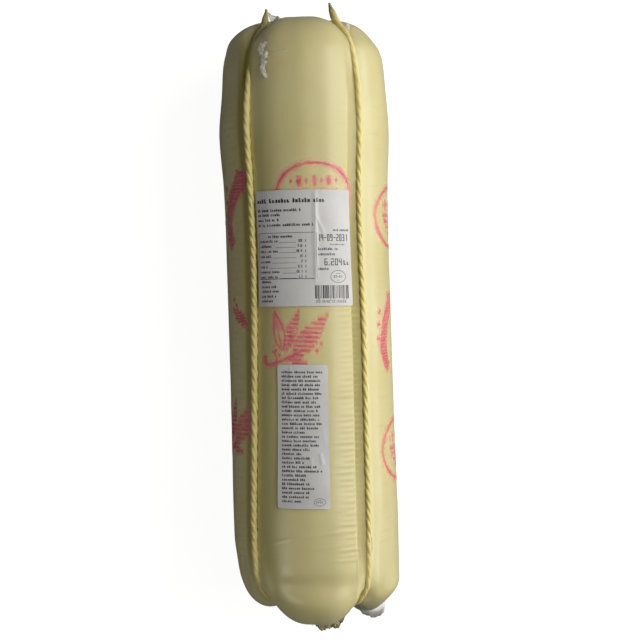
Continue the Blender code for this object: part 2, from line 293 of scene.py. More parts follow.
# depth in mm below the lobes' circle, at degrees from the groove's middle
RIGHT_GROOVE = ((-14, 1.2), (-12, 1.3), (-10.4, 2.1), (-7.5, 2.2), (-4.2, 1.2), (-2, 1.1), (1, 1.4))
RIGHT_GROOVE += ((4, 1.7), (12, 0.8))
LEFT_GROOVE = ((-14, 0.7), (-9, 1.7), (-6, 2.9), (-3.5, 3.1), (-1, 2.5), (2, 2.4), (5, 2.1))
LEFT_GROOVE += ((9, 1.3), (12, 0.8))
BACK_GROOVE = ((-12, 0.8), (-7, 1.9), (-4, 2.7), (0, 2.6), (4, 2.5), (8, 1.6), (12, 0.8))
TOP_GROOVE = ((-16, 0.3), (-9, 1.1), (-3, 1.5), (3, 1.4), (9, 1.0), (16, 0.3))
LOW_GROOVE = ((-14, 0.7), (-8, 1.7), (-3, 2.3), (3, 2.2), (8, 1.6), (14, 0.7))


def groove_shape(along, turn):
    """How far the rounded groove that the cords press into the real cheese stands over the plain one."""
    y = crest_level(along)
    top, bottom = towards_ends(y)
    lift = 0.0
    for middle, shape, reach in (
        (45, RIGHT_GROOVE, (-12.6, -11.4, 8, 12)),
        (-45, LEFT_GROOVE, (-14, -8, 8, 13)),
        (135, BACK_GROOVE, (-12, -7, 7, 12)),
        (-135, BACK_GROOVE, (-12, -7, 7, 12)),
    ):
        off = np.degrees(wrap(turn - math.radians(middle)))
        end = np.maximum(top, bottom)
        inside = window(off, *reach) * (1 - end) + window(off, -18, -10, 10, 18) * end
        inside = inside * (1 - fade(y, 0.203, 0.223)) * (1 - fade(-y, 0.198, 0.209))
        depth = np.interp(off, *zip(*shape)) * (1 - top) * (1 - bottom)
        depth = depth + np.interp(off, *zip(*TOP_GROOVE)) * top
        depth = depth + np.interp(off, *zip(*LOW_GROOVE)) * bottom
        crest = np.interp(along, CREST_ALONG, CREST_RADIUS)
        plain = crest - section(along, turn)[0]
        lift = lift + (plain - depth * MM) * inside
    hidden_cord = bell(np.degrees(wrap(turn)), -43.5, 3.0)
    return lift + 0.9 * MM * hidden_cord * window(y, 0.176, 0.192, 0.206, 0.222)


def ridge_height(crest_y, turn):
    """The cross wrinkles alone."""
    height = np.zeros(np.broadcast(crest_y, turn).shape)
    for y, middle, half, width, tall, slope, bend in RIDGES:
        off = wrap(turn - middle)
        t = off / half
        at = y + slope * t * half + bend * (off**2)
        near = (abs(t) < 1) & (abs(crest_y - at) < 4 * width)
        if near.any():
            shape = bell(crest_y, at, width) * (1 - np.minimum(t * t, 1)) ** 2
            height = height + np.where(near, tall * shape, 0)
    return height


def lobe_ends(crest_y, turn):
    """How much fuller or slimmer the lobes' shoulders and ends are than the plain log's."""
    off = np.degrees(turn)
    left = window(-off, 46, 62, 105, 125)
    left_top = window(crest_y, 0.140, 0.180, 0.203, 0.215) * left
    left_low = fade(-crest_y, 0.162, 0.190) * (1 - 0.30 * fade(-crest_y, 0.197, 0.210)) * left
    right_top = bell(crest_y, 0.2140, 0.0090) * window(off, 32, 50, 95, 125)
    right_low = bell(crest_y, -0.1990, 0.0075) * window(off, 58, 76, 110, 130)
    inner_low = fade(-crest_y, 0.203, 0.2135) * window(off, 30, 38, 60, 82)
    front_low = bell(crest_y, -0.2030, 0.0095) * window(off, -32, 16, 33, 44)
    slimmer = 1.5 * left_top + 2.1 * left_low + 1.7 * right_top + 2.8 * inner_low
    return (2.7 * (right_low + front_low) - slimmer) * MM


def wrinkle(along, angle):
    """The height of the film over the plain surface."""
    crest_y = crest_level(along)
    turn = wrap(angle)
    height = ridge_height(crest_y, turn)
    for tall, cell_y, around, seed in ((0.30, 0.060, 14, 1), (0.20, 0.190, 38, 2), (0.07, 0.017, 34, 3)):
        height = height + tall * MM * soft_noise(crest_y, turn, cell_y, around, seed)
    for y0, a0, y1, a1, width, tall in CREASES:
        t = wrap(turn - math.radians(a0)) / math.radians(a1 - a0)
        at = y0 + (y1 - y0) * t + 1.2 * MM * np.sin(5 * t)
        ends = np.clip(np.minimum(t, 1 - t) * 6, 0, 1)
        height = height + tall * MM * ends * bell(crest_y, at, width * MM)
    dent = bell(crest_y, -0.1915, 0.0060) * fade(-abs(turn - 0.05), -0.72, -0.12)
    height = height - DENT_DEPTH * dent + lobe_ends(crest_y, turn)
    quiet = 0.12 + 0.88 * fade(from_groove(turn), 0.10, 0.27)
    radius = np.interp(along, CREST_ALONG, CREST_RADIUS)
    height = height * quiet * fade(radius, 0.006, 0.020)
    return height + groove_shape(along, turn) - SKIN_DROP


def skin(along, angle, lift=0.0):
    """Points on the film's real surface, or lift above it, flat where the cheese lies."""
    along, angle = np.broadcast_arrays(np.asarray(along, float), np.asarray(angle, float))
    points = place(*section(along, angle), angle)
    points = points + plain_normal(along, angle) * (wrinkle(along, angle) + lift)[..., None]
    points[..., 2] = np.maximum(points[..., 2], 0.0 if np.ndim(lift) == 0 and lift == 0 else 1e-5)
    return points


# ---------------------------------------------------------------- mesh helpers
def add_attribute(made, name, values):
    layer = made.data.attributes.new(name, "FLOAT", "POINT")
    layer.data.foreach_set("value", values.astype(np.float32))


def new_mesh(name, points, faces, look, uv=None, smooth=True):
    mesh = bpy.data.meshes.new(name)
    mesh.from_pydata([tuple(p) for p in points], [], [tuple(f) for f in faces])
    mesh.validate()
    mesh.materials.append(look)
    if uv is not None:
        layer = mesh.uv_layers.new(name="UVMap")
        corner = np.zeros(len(mesh.loops), int)
        mesh.loops.foreach_get("vertex_index", corner)
        layer.data.foreach_set("uv", np.asarray(uv, np.float32)[corner].ravel())
    if smooth:
        mesh.shade_smooth()
    obj = bpy.data.objects.new(name, mesh)
    bpy.context.scene.collection.objects.link(obj)
    return obj


def grid_faces(rows, columns, closed_round=False, flip=False):
    """Quads of a grid of points in row order."""
    i = np.arange(rows - 1)[:, None]
    j = np.arange(columns if closed_round else columns - 1)[None, :]
    k = (j + 1) % columns
    below, above = i * columns, (i + 1) * columns
    quads = np.stack([below + j, below + k, above + k, above + j], -1).reshape(-1, 4)
    return (quads[:, ::-1] if flip else quads).tolist()


class Pile:
    """Collects points and faces of many small shapes for one mesh."""

    def __init__(self):
        self.points, self.faces, self.uv, self.count = [], [], [], 0

    def add(self, points, faces, uv=None):
        points = np.asarray(points, float).reshape(-1, 3)
        self.points.append(points)
        self.faces.extend([[v + self.count for v in face] for face in faces])
        self.uv.append(np.zeros((len(points), 2)) if uv is None else np.asarray(uv).reshape(-1, 2))
        self.count += len(points)

    def make(self, name, look, slot=None, smooth=True):
        points, uv = np.concatenate(self.points), np.concatenate(self.uv)
        return new_mesh(name, points, self.faces, look, uv, smooth)


def run_length(points):
    """The length of the path up to each point."""
    return np.concatenate([[0], np.cumsum(np.linalg.norm(np.diff(points, axis=0), axis=1))])


def resample(points, step):
    """The same path with a point every step, and the length up to each."""
    length = run_length(points)
    count = max(int(length[-1] / step) + 1, 2)
    at = np.linspace(0, length[-1], count)
    return np.stack([np.interp(at, length, points[:, k]) for k in range(3)], -1), at


def smooth_path(points, rounds):
    """The path with its corners worn down, and its ends where they were."""
    points = np.array(points, float)
    for _ in range(rounds):
        points[1:-1] = (points[:-2] + 2 * points[1:-1] + points[2:]) / 4
    return points


def frames(points):
    """Two side directions along a path, turning as little as possible."""
    tangent = unit(np.gradient(points, axis=0))
    side = np.zeros_like(points)
    side[0] = unit(np.cross(tangent[0], [0.3, 0.1, 0.9]))
    for i in range(1, len(points)):
        side[i] = unit(side[i - 1] - tangent[i] * (side[i - 1] @ tangent[i]))
    return side, np.cross(tangent, side)


def tube(pile, points, radius, sides):
    """A round tube along a path, with one radius or one for each point, and capped ends."""
    radius = np.broadcast_to(radius, len(points))
    one, two = frames(points)
    turn = np.arange(sides) * 2 * math.pi / sides
    ring = one[:, None] * np.cos(turn)[None, :, None] + two[:, None] * np.sin(turn)[None, :, None]
    body = points[:, None] + ring * radius[:, None, None]
    faces = grid_faces(len(points), sides, True)
    faces.append(list(range(sides))[::-1])
    faces.append(list(range((len(points) - 1) * sides, len(points) * sides)))
    pile.add(body, faces, join(turn[None, :] / (2 * math.pi), run_length(points)[:, None]))


# ---------------------------------------------------------------- materials
class Look:
    """A node material with short ways to add and join nodes."""

    def __init__(self, name):
        self.material = bpy.data.materials.new(name)
        self.material.use_nodes = True
        self.tree = self.material.node_tree
        self.shader = self.tree.nodes["Principled BSDF"]

    def node(self, kind, values=None, **settings):
        made = self.tree.nodes.new("ShaderNode" + kind)
        for key, value in settings.items():
            setattr(made, key, value)
        for key, value in (values or {}).items():
            self.put(made.inputs[key], value)
        return made

    def put(self, socket, value):
        if isinstance(value, bpy.types.NodeSocket):
            self.tree.links.new(value, socket)
        else:
            socket.default_value = value

    def set(self, **values):
        for key, value in values.items():
            self.put(self.shader.inputs[key.replace("_", " ")], value)

    def math(self, operation, a, b=0.0):
        return self.node("Math", {0: a, 1: b}, operation=operation).outputs[0]

    def times(self, a, b):
        return self.math("MULTIPLY", a, b)

    def place(self, scale=(1, 1, 1)):
        where = self.node("TexCoord").outputs["Object"]
        return self.node("Mapping", {"Vector": where, "Scale": scale}).outputs[0]

    def level(self):
        """How far along the log a point lies, in metres."""
        return self.node("SeparateXYZ", {0: self.node("TexCoord").outputs["Object"]}).outputs[1]

    def uv(self):
        """The two numbers of the UV map."""
        return self.node("SeparateXYZ", {0: self.node("UVMap", uv_map="UVMap").outputs[0]}).outputs

    def attribute(self, name):
        return self.node("Attribute", attribute_name=name).outputs["Fac"]

    def noise(self, vector, scale, detail=2.0, roughness=0.5, distortion=0.0):
        names = ("Vector", "Scale", "Detail", "Roughness", "Distortion")
        values = (vector, scale, detail, roughness, distortion)
        return self.node("TexNoise", dict(zip(names, values))).outputs[0]

    def ramp(self, value, low, low_colour, high, high_colour):
        """One colour below low, another above high, and an eased blend between."""
        made = self.node("ValToRGB", {0: value})
        made.color_ramp.interpolation = "EASE"
        for stop, at, colour in zip(made.color_ramp.elements, (low, high), (low_colour, high_colour)):
            stop.position = at
            stop.color = (*colour, 1)
        return made.outputs[0]

    def span(self, value, low, high, to_low=0.0, to_high=1.0):
        values = {0: value, 1: low, 2: high, 3: to_low, 4: to_high}
        return self.node("MapRange", values).outputs[0]

    def mix(self, factor, a, b):
        a, b = ((*colour, 1) if isinstance(colour, tuple) else colour for colour in (a, b))
        return self.node("Mix", {0: factor, 6: a, 7: b}, data_type="RGBA").outputs[2]

    def bump(self, height, distance, strength=1.0, normal=None):
        made = self.node("Bump", {"Strength": strength, "Distance": distance, "Height": height})
        if normal is not None:
            self.put(made.inputs["Normal"], normal)
        return made.outputs[0]


def cheese_look():
    """Pale rind under clear film: uneven, with painted shade in the grooves beside the cords and along the
    cross wrinkles.
    """
    look = Look("cheese_in_film")
    spot = look.place()
    fine = look.noise(spot, 90, 3, 0.6)
    patches = look.noise(spot, 14, 3, 0.55)
    colour = look.ramp(patches, 0.30, (0.765, 0.670, 0.305), 0.70, (0.800, 0.715, 0.360))
    colour = look.mix(look.span(fine, 0.35, 0.75, 0, 0.14), colour, (0.73, 0.64, 0.27))
    haze = look.noise(look.place((9, 4, 9)), 3.0, 2, 0.5)
    colour = look.mix(look.span(haze, 0.55, 0.75, 0, 0.16), colour, (0.80, 0.78, 0.60))
    # painted shade: a darker olive in the grooves beside the cords, on the upper lobe's left flank and over
    # the left cord's hidden top
    colour = look.mix(look.times(look.attribute("painted_groove_shade"), 0.92), colour, (0.37, 0.290, 0.030))
    mottle = look.noise(look.place((1, 0.75, 1)), 42, 2, 0.45)
    colour = look.mix(look.span(mottle, 0.52, 0.70, 0, 0.16), colour, (0.66, 0.57, 0.24))
    # painted shade: darker along the cross wrinkles, following their height
    colour = look.mix(look.span(look.attribute("ridge"), 0.05, 1.2, 0, 0.50), colour, (0.62, 0.53, 0.24))
    look.set(Base_Color=colour, Specular_IOR_Level=0.35)
    look.set(Roughness=look.span(fine, 0.3, 0.8, 0.36, 0.48))
    look.set(Subsurface_Weight=0.22, Subsurface_Radius=(0.9, 0.55, 0.22), Subsurface_Scale=0.006)
    look.set(Coat_Weight=0.55, Coat_Roughness=0.24, Coat_IOR=1.45)
    creases = look.bump(look.noise(look.place((22, 230, 22)), 1.0, 2, 0.5, 0.4), 0.00012, 0.5)
    relief = look.bump(look.noise(spot, 260, 3, 0.6), 0.00005, 0.4, creases)
    look.set(Normal=relief, Coat_Normal=relief)
    return look.material


def cord_look(name, fresh, deep, depth, covered_from=None):
    """Twine: each strand's own yarns as a slanted wave, and loose fibre; deep colour between them, partly
    painted shade in the gaps between the yarns and partly random fibre tone.

    Its left side, away from the light, gets painted shade as strong as depth, and from covered_from on it
    lies under the film with painted shade.
    """
    look = Look(name)
    around, onward = look.uv()[:2]
    yarns = look.math("ADD", look.times(around, 7.0), look.times(onward, 420.0))
    wave = look.math("SINE", look.times(yarns, 2 * math.pi))
    fibre = look.noise(look.place((900, 160, 900)), 1.0, 3, 0.6)
    # painted shade between the yarns, mixed with random fibre tone
    shade = look.math("ADD", look.times(wave, 0.09), look.times(fibre, 0.9))
    colour = look.ramp(shade, 0.02, deep, 0.46, fresh)
    patch = look.span(look.noise(look.place(), 60, 2, 0.5), 0.40, 0.80, 0, 0.25)
    colour = look.mix(patch, colour, tuple(0.84 * c for c in fresh))
    # painted shade on the cord's left side, which faces away from the light
    colour = look.mix(look.times(look.attribute("painted_shade_side"), depth), colour, (0.50, 0.38, 0.05))
    level = look.level()
    for low, high, share, tint in (
        (0.120, 0.165, 0.55, (1.0, 0.80, 0.34)),
        (-0.150, -0.185, 0.55, (1.0, 0.79, 0.31)),
        # painted shade on the free tips
        (0.2240, 0.2350, 0.75, (0.30, 0.225, 0.075)),
    ):
        colour = look.mix(look.span(level, low, high, 0, share), colour, tint)
    # painted shade where the cord runs under the film in the groove at the top
    if covered_from:
        under = look.span(level, covered_from, covered_from + 0.010, 0, 0.80)
        colour = look.mix(under, colour, (0.34, 0.26, 0.095))
    look.set(Base_Color=colour, Roughness=0.62, Specular_IOR_Level=0.3)
    look.set(Sheen_Weight=0.05, Sheen_Roughness=0.5, Sheen_Tint=(1.0, 0.86, 0.50, 1))
    look.set(Subsurface_Weight=0.15, Subsurface_Radius=(1.0, 0.8, 0.4), Subsurface_Scale=0.001)
    look.set(Normal=look.bump(fibre, 0.00010, 0.6, look.bump(wave, 0.00006, 0.6)))
    return look.material


def paper_look():
    look = Look("label_paper")
    spot = look.place()
    tone = look.noise(spot, 45, 3, 0.6)
    look.set(Base_Color=look.ramp(tone, 0.3, (0.745, 0.715, 0.690), 0.7, (0.815, 0.795, 0.765)))
    look.set(Roughness=look.span(look.noise(spot, 200, 2), 0.3, 0.7, 0.38, 0.5))
    look.set(Specular_IOR_Level=0.45, Coat_Weight=0.15, Coat_Roughness=0.3)
    soft = look.bump(look.noise(spot, 70, 2, 0.5), 0.0004, 0.35)
    look.set(Normal=look.bump(look.noise(spot, 900, 2, 0.5), 0.00003, 0.3, soft))
    return look.material


def ink_look(name, dark, pale, grain, wear):
    """Printing ink that thins out in specks and patches and, if it wears, towards its edges."""
    look = Look(name)
    spot = look.place()
    speck = look.noise(spot, grain, 4, 0.7)
    patch = look.noise(spot, grain * 0.12, 2, 0.5)
    worn = look.math("ADD", look.times(speck, 0.65), look.times(patch, 0.35))
    look.set(Base_Color=look.mix(look.span(worn, 0.42, 0.62), dark, pale))
    look.set(Roughness=0.4, Specular_IOR_Level=0.4, Coat_Weight=0.4, Coat_Roughness=0.25)
    if wear:
        edge = look.span(look.math("ABSOLUTE", look.uv()[0]), 0.45, 1.0, 1.0, 0.10)
        look.set(Alpha=look.times(look.span(worn, 0.46, 0.66, 0.95, 1.0 - wear), edge))
    return look.material


def bleed_look():
    """Thin pink dye that has crept under the film round the print, fading outwards."""
    look = Look("bled_ink")
    near = look.span(look.math("ABSOLUTE", look.uv()[0]), 0.2, 1.0, 1.0, 0.0)
    patch = look.span(look.noise(look.place(), 90, 3, 0.6), 0.35, 0.65, 0.25, 1.0)
    look.set(Base_Color=(0.76, 0.30, 0.27, 1), Roughness=0.4, Coat_Weight=0.4, Coat_Roughness=0.25)
    look.set(Alpha=look.times(look.math("POWER", near, 1.15), patch))
    return look.material


def film_look(name, colour, alpha_low, alpha_high, grain, relief, roughness, starts=False):
    """Clear film gone milky in its folds; one that starts softly is clear along its root and sides."""
    look = Look(name)
    fold = look.noise(look.place(), grain, 4, 0.6, 0.8)
    look.set(Base_Color=look.mix(look.span(fold, 0.35, 0.7), colour, tuple(0.8 * c + 0.14 for c in colour)))
    alpha = look.span(fold, 0.35, 0.68, alpha_low, alpha_high)
    if starts:
        up, across = look.uv()[:2]
        alpha = look.times(alpha, look.span(up, 0.02, 0.55))
        alpha = look.times(alpha, look.span(across, 0.0, 0.16, 0.25, 1.0))
        alpha = look.times(alpha, look.span(across, 0.90, 1.0, 1.0, 0.35))
    look.set(Alpha=alpha, Normal=look.bump(fold, 0.0006, relief))
    look.set(Roughness=roughness, Specular_IOR_Level=0.35, Coat_Weight=0.25, Coat_Roughness=roughness / 2)
    return look.material


def knot_look():
    """Film gathered in tight pleats, dark and glossy, with painted shade in the pleats' hollows and milky
    patches.
    """
    look = Look("gathered_film")
    pleat = look.noise(look.place((300, 60, 300)), 1.0, 3, 0.6, 0.6)
    # painted shade: darker in the pleats' hollows
    colour = look.ramp(pleat, 0.35, (0.22, 0.17, 0.065), 0.65, (0.56, 0.48, 0.25))
    patch = look.span(look.noise(look.place(), 160, 3, 0.6), 0.58, 0.75, 0, 0.45)
    look.set(Base_Color=look.mix(patch, colour, (0.66, 0.62, 0.44)), Roughness=0.32, Specular_IOR_Level=0.5)
    look.set(Coat_Weight=0.7, Coat_Roughness=0.14, Normal=look.bump(pleat, 0.0005, 0.7))
    return look.material


# ---------------------------------------------------------------- the cheese
def groove_shade_paint(along, turn):
    """How much painted shade deepens the rind's colour: beside and below the cords, on the upper lobe's
    left flank, and over the left cord's hidden top.
    """
    y = crest_level(along)
    body = fade(y, -0.205, -0.160) * (1 - 0.6 * fade(y, 0.170, 0.215))
    right = beside_groove(turn, 45, -12.4, -10.6, -1.0, 3.0)
    right = right * (1 - 0.55 * fade(y, 0.050, 0.120)) * (1 - 0.35 * fade(-y, 0.060, 0.150))
    left = 0.72 * beside_groove(turn, -45, -10.0, -6.5, -1.0, 5.0)
    # painted shade on the upper lobe's left flank, which faces away from the light
    yellow = 0.34 * beside_groove(turn, -45, -2, 4, 14, 32) * (1 - fade(y, 0.110, 0.160))
    back = beside_groove(turn, 135, -10, -6, 0, 4) + beside_groove(turn, -135, -10, -6, 0, 4)
    # painted shade of the groove over the left cord, where the cord is hidden under the film at the top
    hidden_cord = beside_groove(turn, -45, -6.0, -1.0, 2.0, 8.0) * window(y, 0.165, 0.185, 0.215, 0.235)
    return np.clip(np.clip(right + left + yellow + 0.8 * back, 0, 1) * body + 1.1 * hidden_cord, 0, 1.15)


def make_cheese():
    """The log at full detail: finer rows along the body, finer columns beside the front cords."""
    body_row, end_row = 0.95 * MM, 1.5 * MM
    on_body = (CREST_Y[1:] > LOW_RIM) & (CREST_Y[1:] < TOP_RIM)
    count = np.concatenate([[0], np.cumsum(_step / np.where(on_body, body_row, end_row))])
    along = np.interp(np.linspace(0, count[-1], int(count[-1])), count, CREST_ALONG)[1:-1]
    spans = ((-58, -38, 0.7), (-38, 32, 1.5), (32, 50, 0.7), (50, 302, 2.8))
    angle = np.radians(np.concatenate([np.arange(low, high - 0.1, step) for low, high, step in spans]))
    columns = len(angle)
    points = skin(along[:, None], angle[None, :]).reshape(-1, 3)
    points = np.concatenate([points, skin(0.0, 0.0)[None], skin(1.0, 0.0)[None]])
    faces = grid_faces(len(along), columns, True)
    low_pole = len(along) * columns
    for j in range(columns):
        k = (j + 1) % columns
        faces.append([low_pole, k, j])
        faces.append([low_pole + 1, low_pole - columns + j, low_pole - columns + k])
    made = new_mesh("cheese_in_film", points, faces, cheese_look())
    at, turn = np.broadcast_arrays(along[:, None], wrap(angle)[None, :])
    # the cross wrinkles' height, which sets the painted shade in the cheese's colour
    ridge = ridge_height(crest_level(at), turn) / (0.25 * MM)
    # both attributes carry painted shade for the cheese's colour
    for attribute, values in (("painted_groove_shade", groove_shade_paint(at, turn)), ("ridge", ridge)):
        add_attribute(made, attribute, np.concatenate([values.ravel(), [0, 0]]))
    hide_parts("cheese")
    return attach(made, "root")


# ---------------------------------------------------------------- the cords
def cord_in_groove(along, angle):
    """(radius, y) of a cord's middle line as in CAD: it touches the groove's floor or its flanks."""
    step, side = 0.004, math.radians(6)
    low, high = section(np.maximum(along - step, 0), angle), section(np.minimum(along + step, 1), angle)
    out = unit(np.stack([high[1] - low[1], low[0] - high[0]], -1))
    floor = np.stack(section(along, angle), -1)
    flank = np.stack(section(along, angle + side), -1) - floor
    rise = np.maximum((flank * out).sum(-1), 0) / (floor[..., 0] * side)
    return floor + out * ((CORD_RADIUS + CORD_CLEARANCE) * np.hypot(1, rise))[..., None]


def cord_raise(y, sinks, proud):
    """How far a cord stands above the CAD part's rod: proud more, and sunk at top and bottom, in mm."""
    top, bottom = towards_ends(y)
    raised = 1.25 + proud + 1.9 * top + 0.9 * bottom
    raised = raised - sinks[0] * fade(y, 0.150, 0.196) - sinks[1] * fade(-y, 0.176, 0.200)
    return raised * MM * (1 - fade(y, 0.204, 0.224)) * (1 - 0.7 * fade(-y, 0.196, 0.210))


def cord_path(angle, tip, sinks, proud):
    """The cord's middle line in space, from the knot up its groove to its free tip (radius, y)."""
    line = cord_in_groove(np.linspace(0.004, 0.996, 1200), angle)
    start = np.argmax(line[:, 0] > CORD_START_RADIUS)
    leave = len(line) - 1 - np.argmax(line[::-1, 0] > TAIL_LEAVES_RADIUS)
    line = line[start : leave + 1]
    last, tip = line[-1], np.array(tip)
    bend = last + unit(line[-1] - line[-12]) * np.linalg.norm(tip - last) * 0.40
    step = np.linspace(0, 1, 40)[1:, None]
    tail = last * (1 - step) ** 2 + bend * 2 * step * (1 - step) + tip * step**2
    line = np.concatenate([line, tail])
    ahead = unit(np.gradient(line, axis=0))
    line = line + np.stack([ahead[:, 1], -ahead[:, 0]], -1) * cord_raise(line[:, 1], sinks, proud)[:, None]
    radius, y = line.T
    shoulder = 2.4 * bell(y, 0.2035, 0.0140) * (angle > 0)
    aside = np.radians(CORD_ASIDE * window(y, -0.205, -0.185, 0.190, 0.215) + shoulder)
    return place(radius, y, angle - np.copysign(aside * (abs(angle) < math.pi / 2), angle))


def make_cord(node, angle, tip, pitch, look, wrapped, sinks, proud, seed):
    """Three strands laid together, thinner and frayed at the cut tip, with loose fibres.

    The film wraps the last part up to the tip, so there are no fibres there; pitch is the lay's length.
    """
    rng = np.random.default_rng(seed)
    angle = math.radians(angle)
    path, at = resample(smooth_path(cord_path(angle, tip, sinks, proud), 500), 0.75 * MM)
    one, two = frames(path)
    left = at[-1] - at
    uneven = 1 + 0.10 * np.sin(at / 0.031 + seed) + 0.05 * np.sin(at / 0.011)
    lay = -2 * math.pi * np.cumsum(np.gradient(at) / (pitch * uneven))
    taper = (0.40 + 0.60 * fade(left, 0.0, 0.010)) * (1 + 0.22 * bell(left, 0.017, 0.011))
    front = abs(angle) < math.pi / 2
    veiled = np.maximum(fade(path[:, 1], 0.110, 0.165), fade(-path[:, 1], 0.150, 0.185)) * front
    pile = Pile()

    def sideways(where, turn):
        return one[where] * math.cos(turn) + two[where] * math.sin(turn)

    for strand in range(3):
        phase = lay + strand * 2 * math.pi / 3
        size = MM * taper * (1 + 0.06 * np.sin(at / 0.017 + strand * 2.1 + seed))
        offset = ((1.10 - 0.50 * veiled) * size)[:, None]
        middle = path + (one * np.cos(phase)[:, None] + two * np.sin(phase)[:, None]) * offset
        tube(pile, middle, (1.38 + 0.50 * veiled) * size, 12)
    for _ in range(150):
        where = rng.integers(8, len(path) - 8)
        if left[where] < wrapped:
            continue
        out = sideways(where, rng.uniform(0, 2 * math.pi))
        onward = unit(path[where + 3] - path[where - 3])
        length = rng.uniform(1.0, 3.2) * MM
        steps = np.linspace(0, 1, 5)[:, None]
        drift = onward * rng.uniform(-1, 1) + np.cross(onward, out) * rng.uniform(-0.8, 0.8)
        hair = path[where] + out * (1.9 * MM + length * 0.35 * np.sin(steps * 2.2)) + drift * length * steps
        tube(pile, hair, 0.045 * MM, 3)
    onward = unit(path[-1] - path[-6])
    for _ in range(26):
        turn, reach = rng.uniform(0, 2 * math.pi), rng.uniform(0.2, 1.0) * MM
        steps = np.linspace(0, 1, 4)[:, None]
        fray = path[-2] + sideways(-1, turn) * (0.35 * MM + reach * 0.5 * steps)
        tube(pile, fray + onward * rng.uniform(0.1, 0.5) * MM * steps, 0.07 * MM, 3)
    made = pile.make(f"{node}_rope", look, "cord")
    points = np.concatenate(pile.points)
    # painted shade on the front cords' left side, weaker where the film veils them
    aside = (np.interp(points[:, 1], path[:, 1], path[:, 0]) - points[:, 0]) / CORD_RADIUS
    cover = 1 - 0.6 * np.interp(points[:, 1], path[:, 1], veiled)
    add_attribute(made, "painted_shade_side", fade(aside, -0.25, 0.75) * front * cover)
    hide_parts(node)
    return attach(made, "root")


# ---------------------------------------------------------------- printing
PAPER_PRINT_LIFT = 0.05 * MM
FILM_PRINT_LIFT = 0.12 * MM
BLEED = 3.2 * MM
# the seven strokes of plain numerals, a at the top, then clockwise, and g in the middle
SEGMENTS = "abcdef bc abged abgcd fgbc afgcd afgedc abc abcdefg abcdfg g"
SEGMENTS = dict(zip("0123456789-", SEGMENTS.split()))


class Pen:
    """Prints, in millimetres, on the surface of which where(u, v, lift) gives the points."""

    def __init__(self, where=None, bleed=0.0):
        self.where, self.bleed = where, bleed
        self.ink, self.halo, self.strokes = Pile(), Pile(), 0

    def strip(self, pile, points, side, half, count, lift):
        """A strip of count points across; its UV map runs from -1 to 1 across it."""
        across = np.linspace(-1, 1, count)
        flat = points[:, None] + side[:, None] * (across[None, :, None] * half[:, None, None])
        uv = join(across, np.zeros((len(points), 1)))
        faces = grid_faces(len(points), count, flip=True)
        pile.add(self.where(flat[..., 0], flat[..., 1], lift), faces, uv)

    def stroke(self, points, half):
        """A line of even or changing half width, with a soft halo under it where the ink bleeds."""
        points, half = points * MM, np.broadcast_to(half, len(points)) * MM
        run = np.gradient(points, axis=0)
        run /= np.maximum(np.linalg.norm(run, axis=1, keepdims=True), 1e-12)
        side = join(-run[:, 1], run[:, 0])
        if self.bleed:
            self.strokes += 1
            sunk = -0.004 * MM * (self.strokes % 10 + 1)
            self.strip(self.halo, points, side, half + self.bleed, 5, sunk)
        self.strip(self.ink, points, side, half, 3 if half.max() > 0.5 * MM else 2, 0.0)

    def dot(self, u, v, size):
        t = np.linspace(-1, 1, 7)
        self.stroke(join(u + size * t, v), size * np.sqrt(np.maximum(1 - t * t, 0.04)))

    def oval(self, u, v, half_u, half_v, half):
        turn = np.linspace(0, 2 * math.pi, 48)
        self.stroke(join(u + half_u * np.cos(turn), v + half_v * np.sin(turn)), half)

    def hatch(self, outline, spacing, half):
        """Cross strokes that fill a closed outline."""
        v = outline[:, 1].min() + spacing * 0.7
        while v < outline[:, 1].max() - spacing * 0.3:
            a, b = outline, np.roll(outline, -1, 0)
            cross = (a[:, 1] - v) * (b[:, 1] - v) < 0
            t = (v - a[cross, 1]) / (b[cross, 1] - a[cross, 1])
            hits = np.sort(a[cross, 0] + t * (b[cross, 0] - a[cross, 0]))
            for u0, u1 in zip(hits[::2], hits[1::2]):
                count = max(int((u1 - u0) / 1.2), 2)
                ends = np.sqrt(np.clip(1 - np.linspace(-1, 1, count) ** 6, 0.05, 1))
                self.stroke(join(np.linspace(u0, u1, count), v), half * ends)
            v += spacing

    def bar(self, u0, v0, u1, v1):
        """A rectangle, cut every 2 mm so that it follows the paper."""
        u, v = (np.linspace(a, b, max(int((b - a) / 2), 1) + 1) * MM for a, b in ((u0, u1), (v0, v1)))
        self.ink.add(self.where(u[None, :], v[:, None], 0.0), grid_faces(len(v), len(u)))

    def mock_line(self, rng, u, v, length, tall, bold=0.5):
        """A line of small marks in word-like groups, which say nothing."""
        end, thick, top = u + length, tall * 0.24 * (0.6 + bold), v + tall * 0.72
        while u < end - tall * 0.5:
            for _ in range(rng.integers(2, 10)):
                if u > end - tall * 0.3:
                    break
                wide, kind = tall * rng.uniform(0.42, 0.62), rng.integers(0, 5)
                self.bar(u, v, u + thick, v + tall if rng.uniform() < 0.3 else top)
                if kind in (0, 1, 3):
                    self.bar(u + wide - thick, v, u + wide, top)
                if kind in (1, 2):
                    self.bar(u + thick, top - thick, u + wide - thick * 0.5, top)
                if kind in (2, 3, 4):
                    self.bar(u + thick, v, u + wide * 0.9, v + thick)
                u += wide + tall * 0.16
            u += tall * 0.55

    def numerals(self, text, u, v, tall, thick, wide, gap):
        """Plain numerals of straight strokes."""
        for letter in text:
            if letter == ".":
                self.bar(u, v, u + thick * 1.2, v + thick * 1.2)
                u += thick * 2.6
                continue
            right, top, middle = u + wide, v + tall, v + tall / 2
            lines = {
                "a": (u, top - thick, right, top),
                "b": (right - thick, middle, right, top),
                "c": (right - thick, v, right, middle),
                "d": (u, v, right, v + thick),
                "e": (u, v, u + thick, middle),
                "f": (u, middle, u + thick, top),
                "g": (u, middle - thick / 2, right, middle + thick / 2),
            }
            for name in SEGMENTS[letter]:
                self.bar(*lines[name])
            u += wide + gap


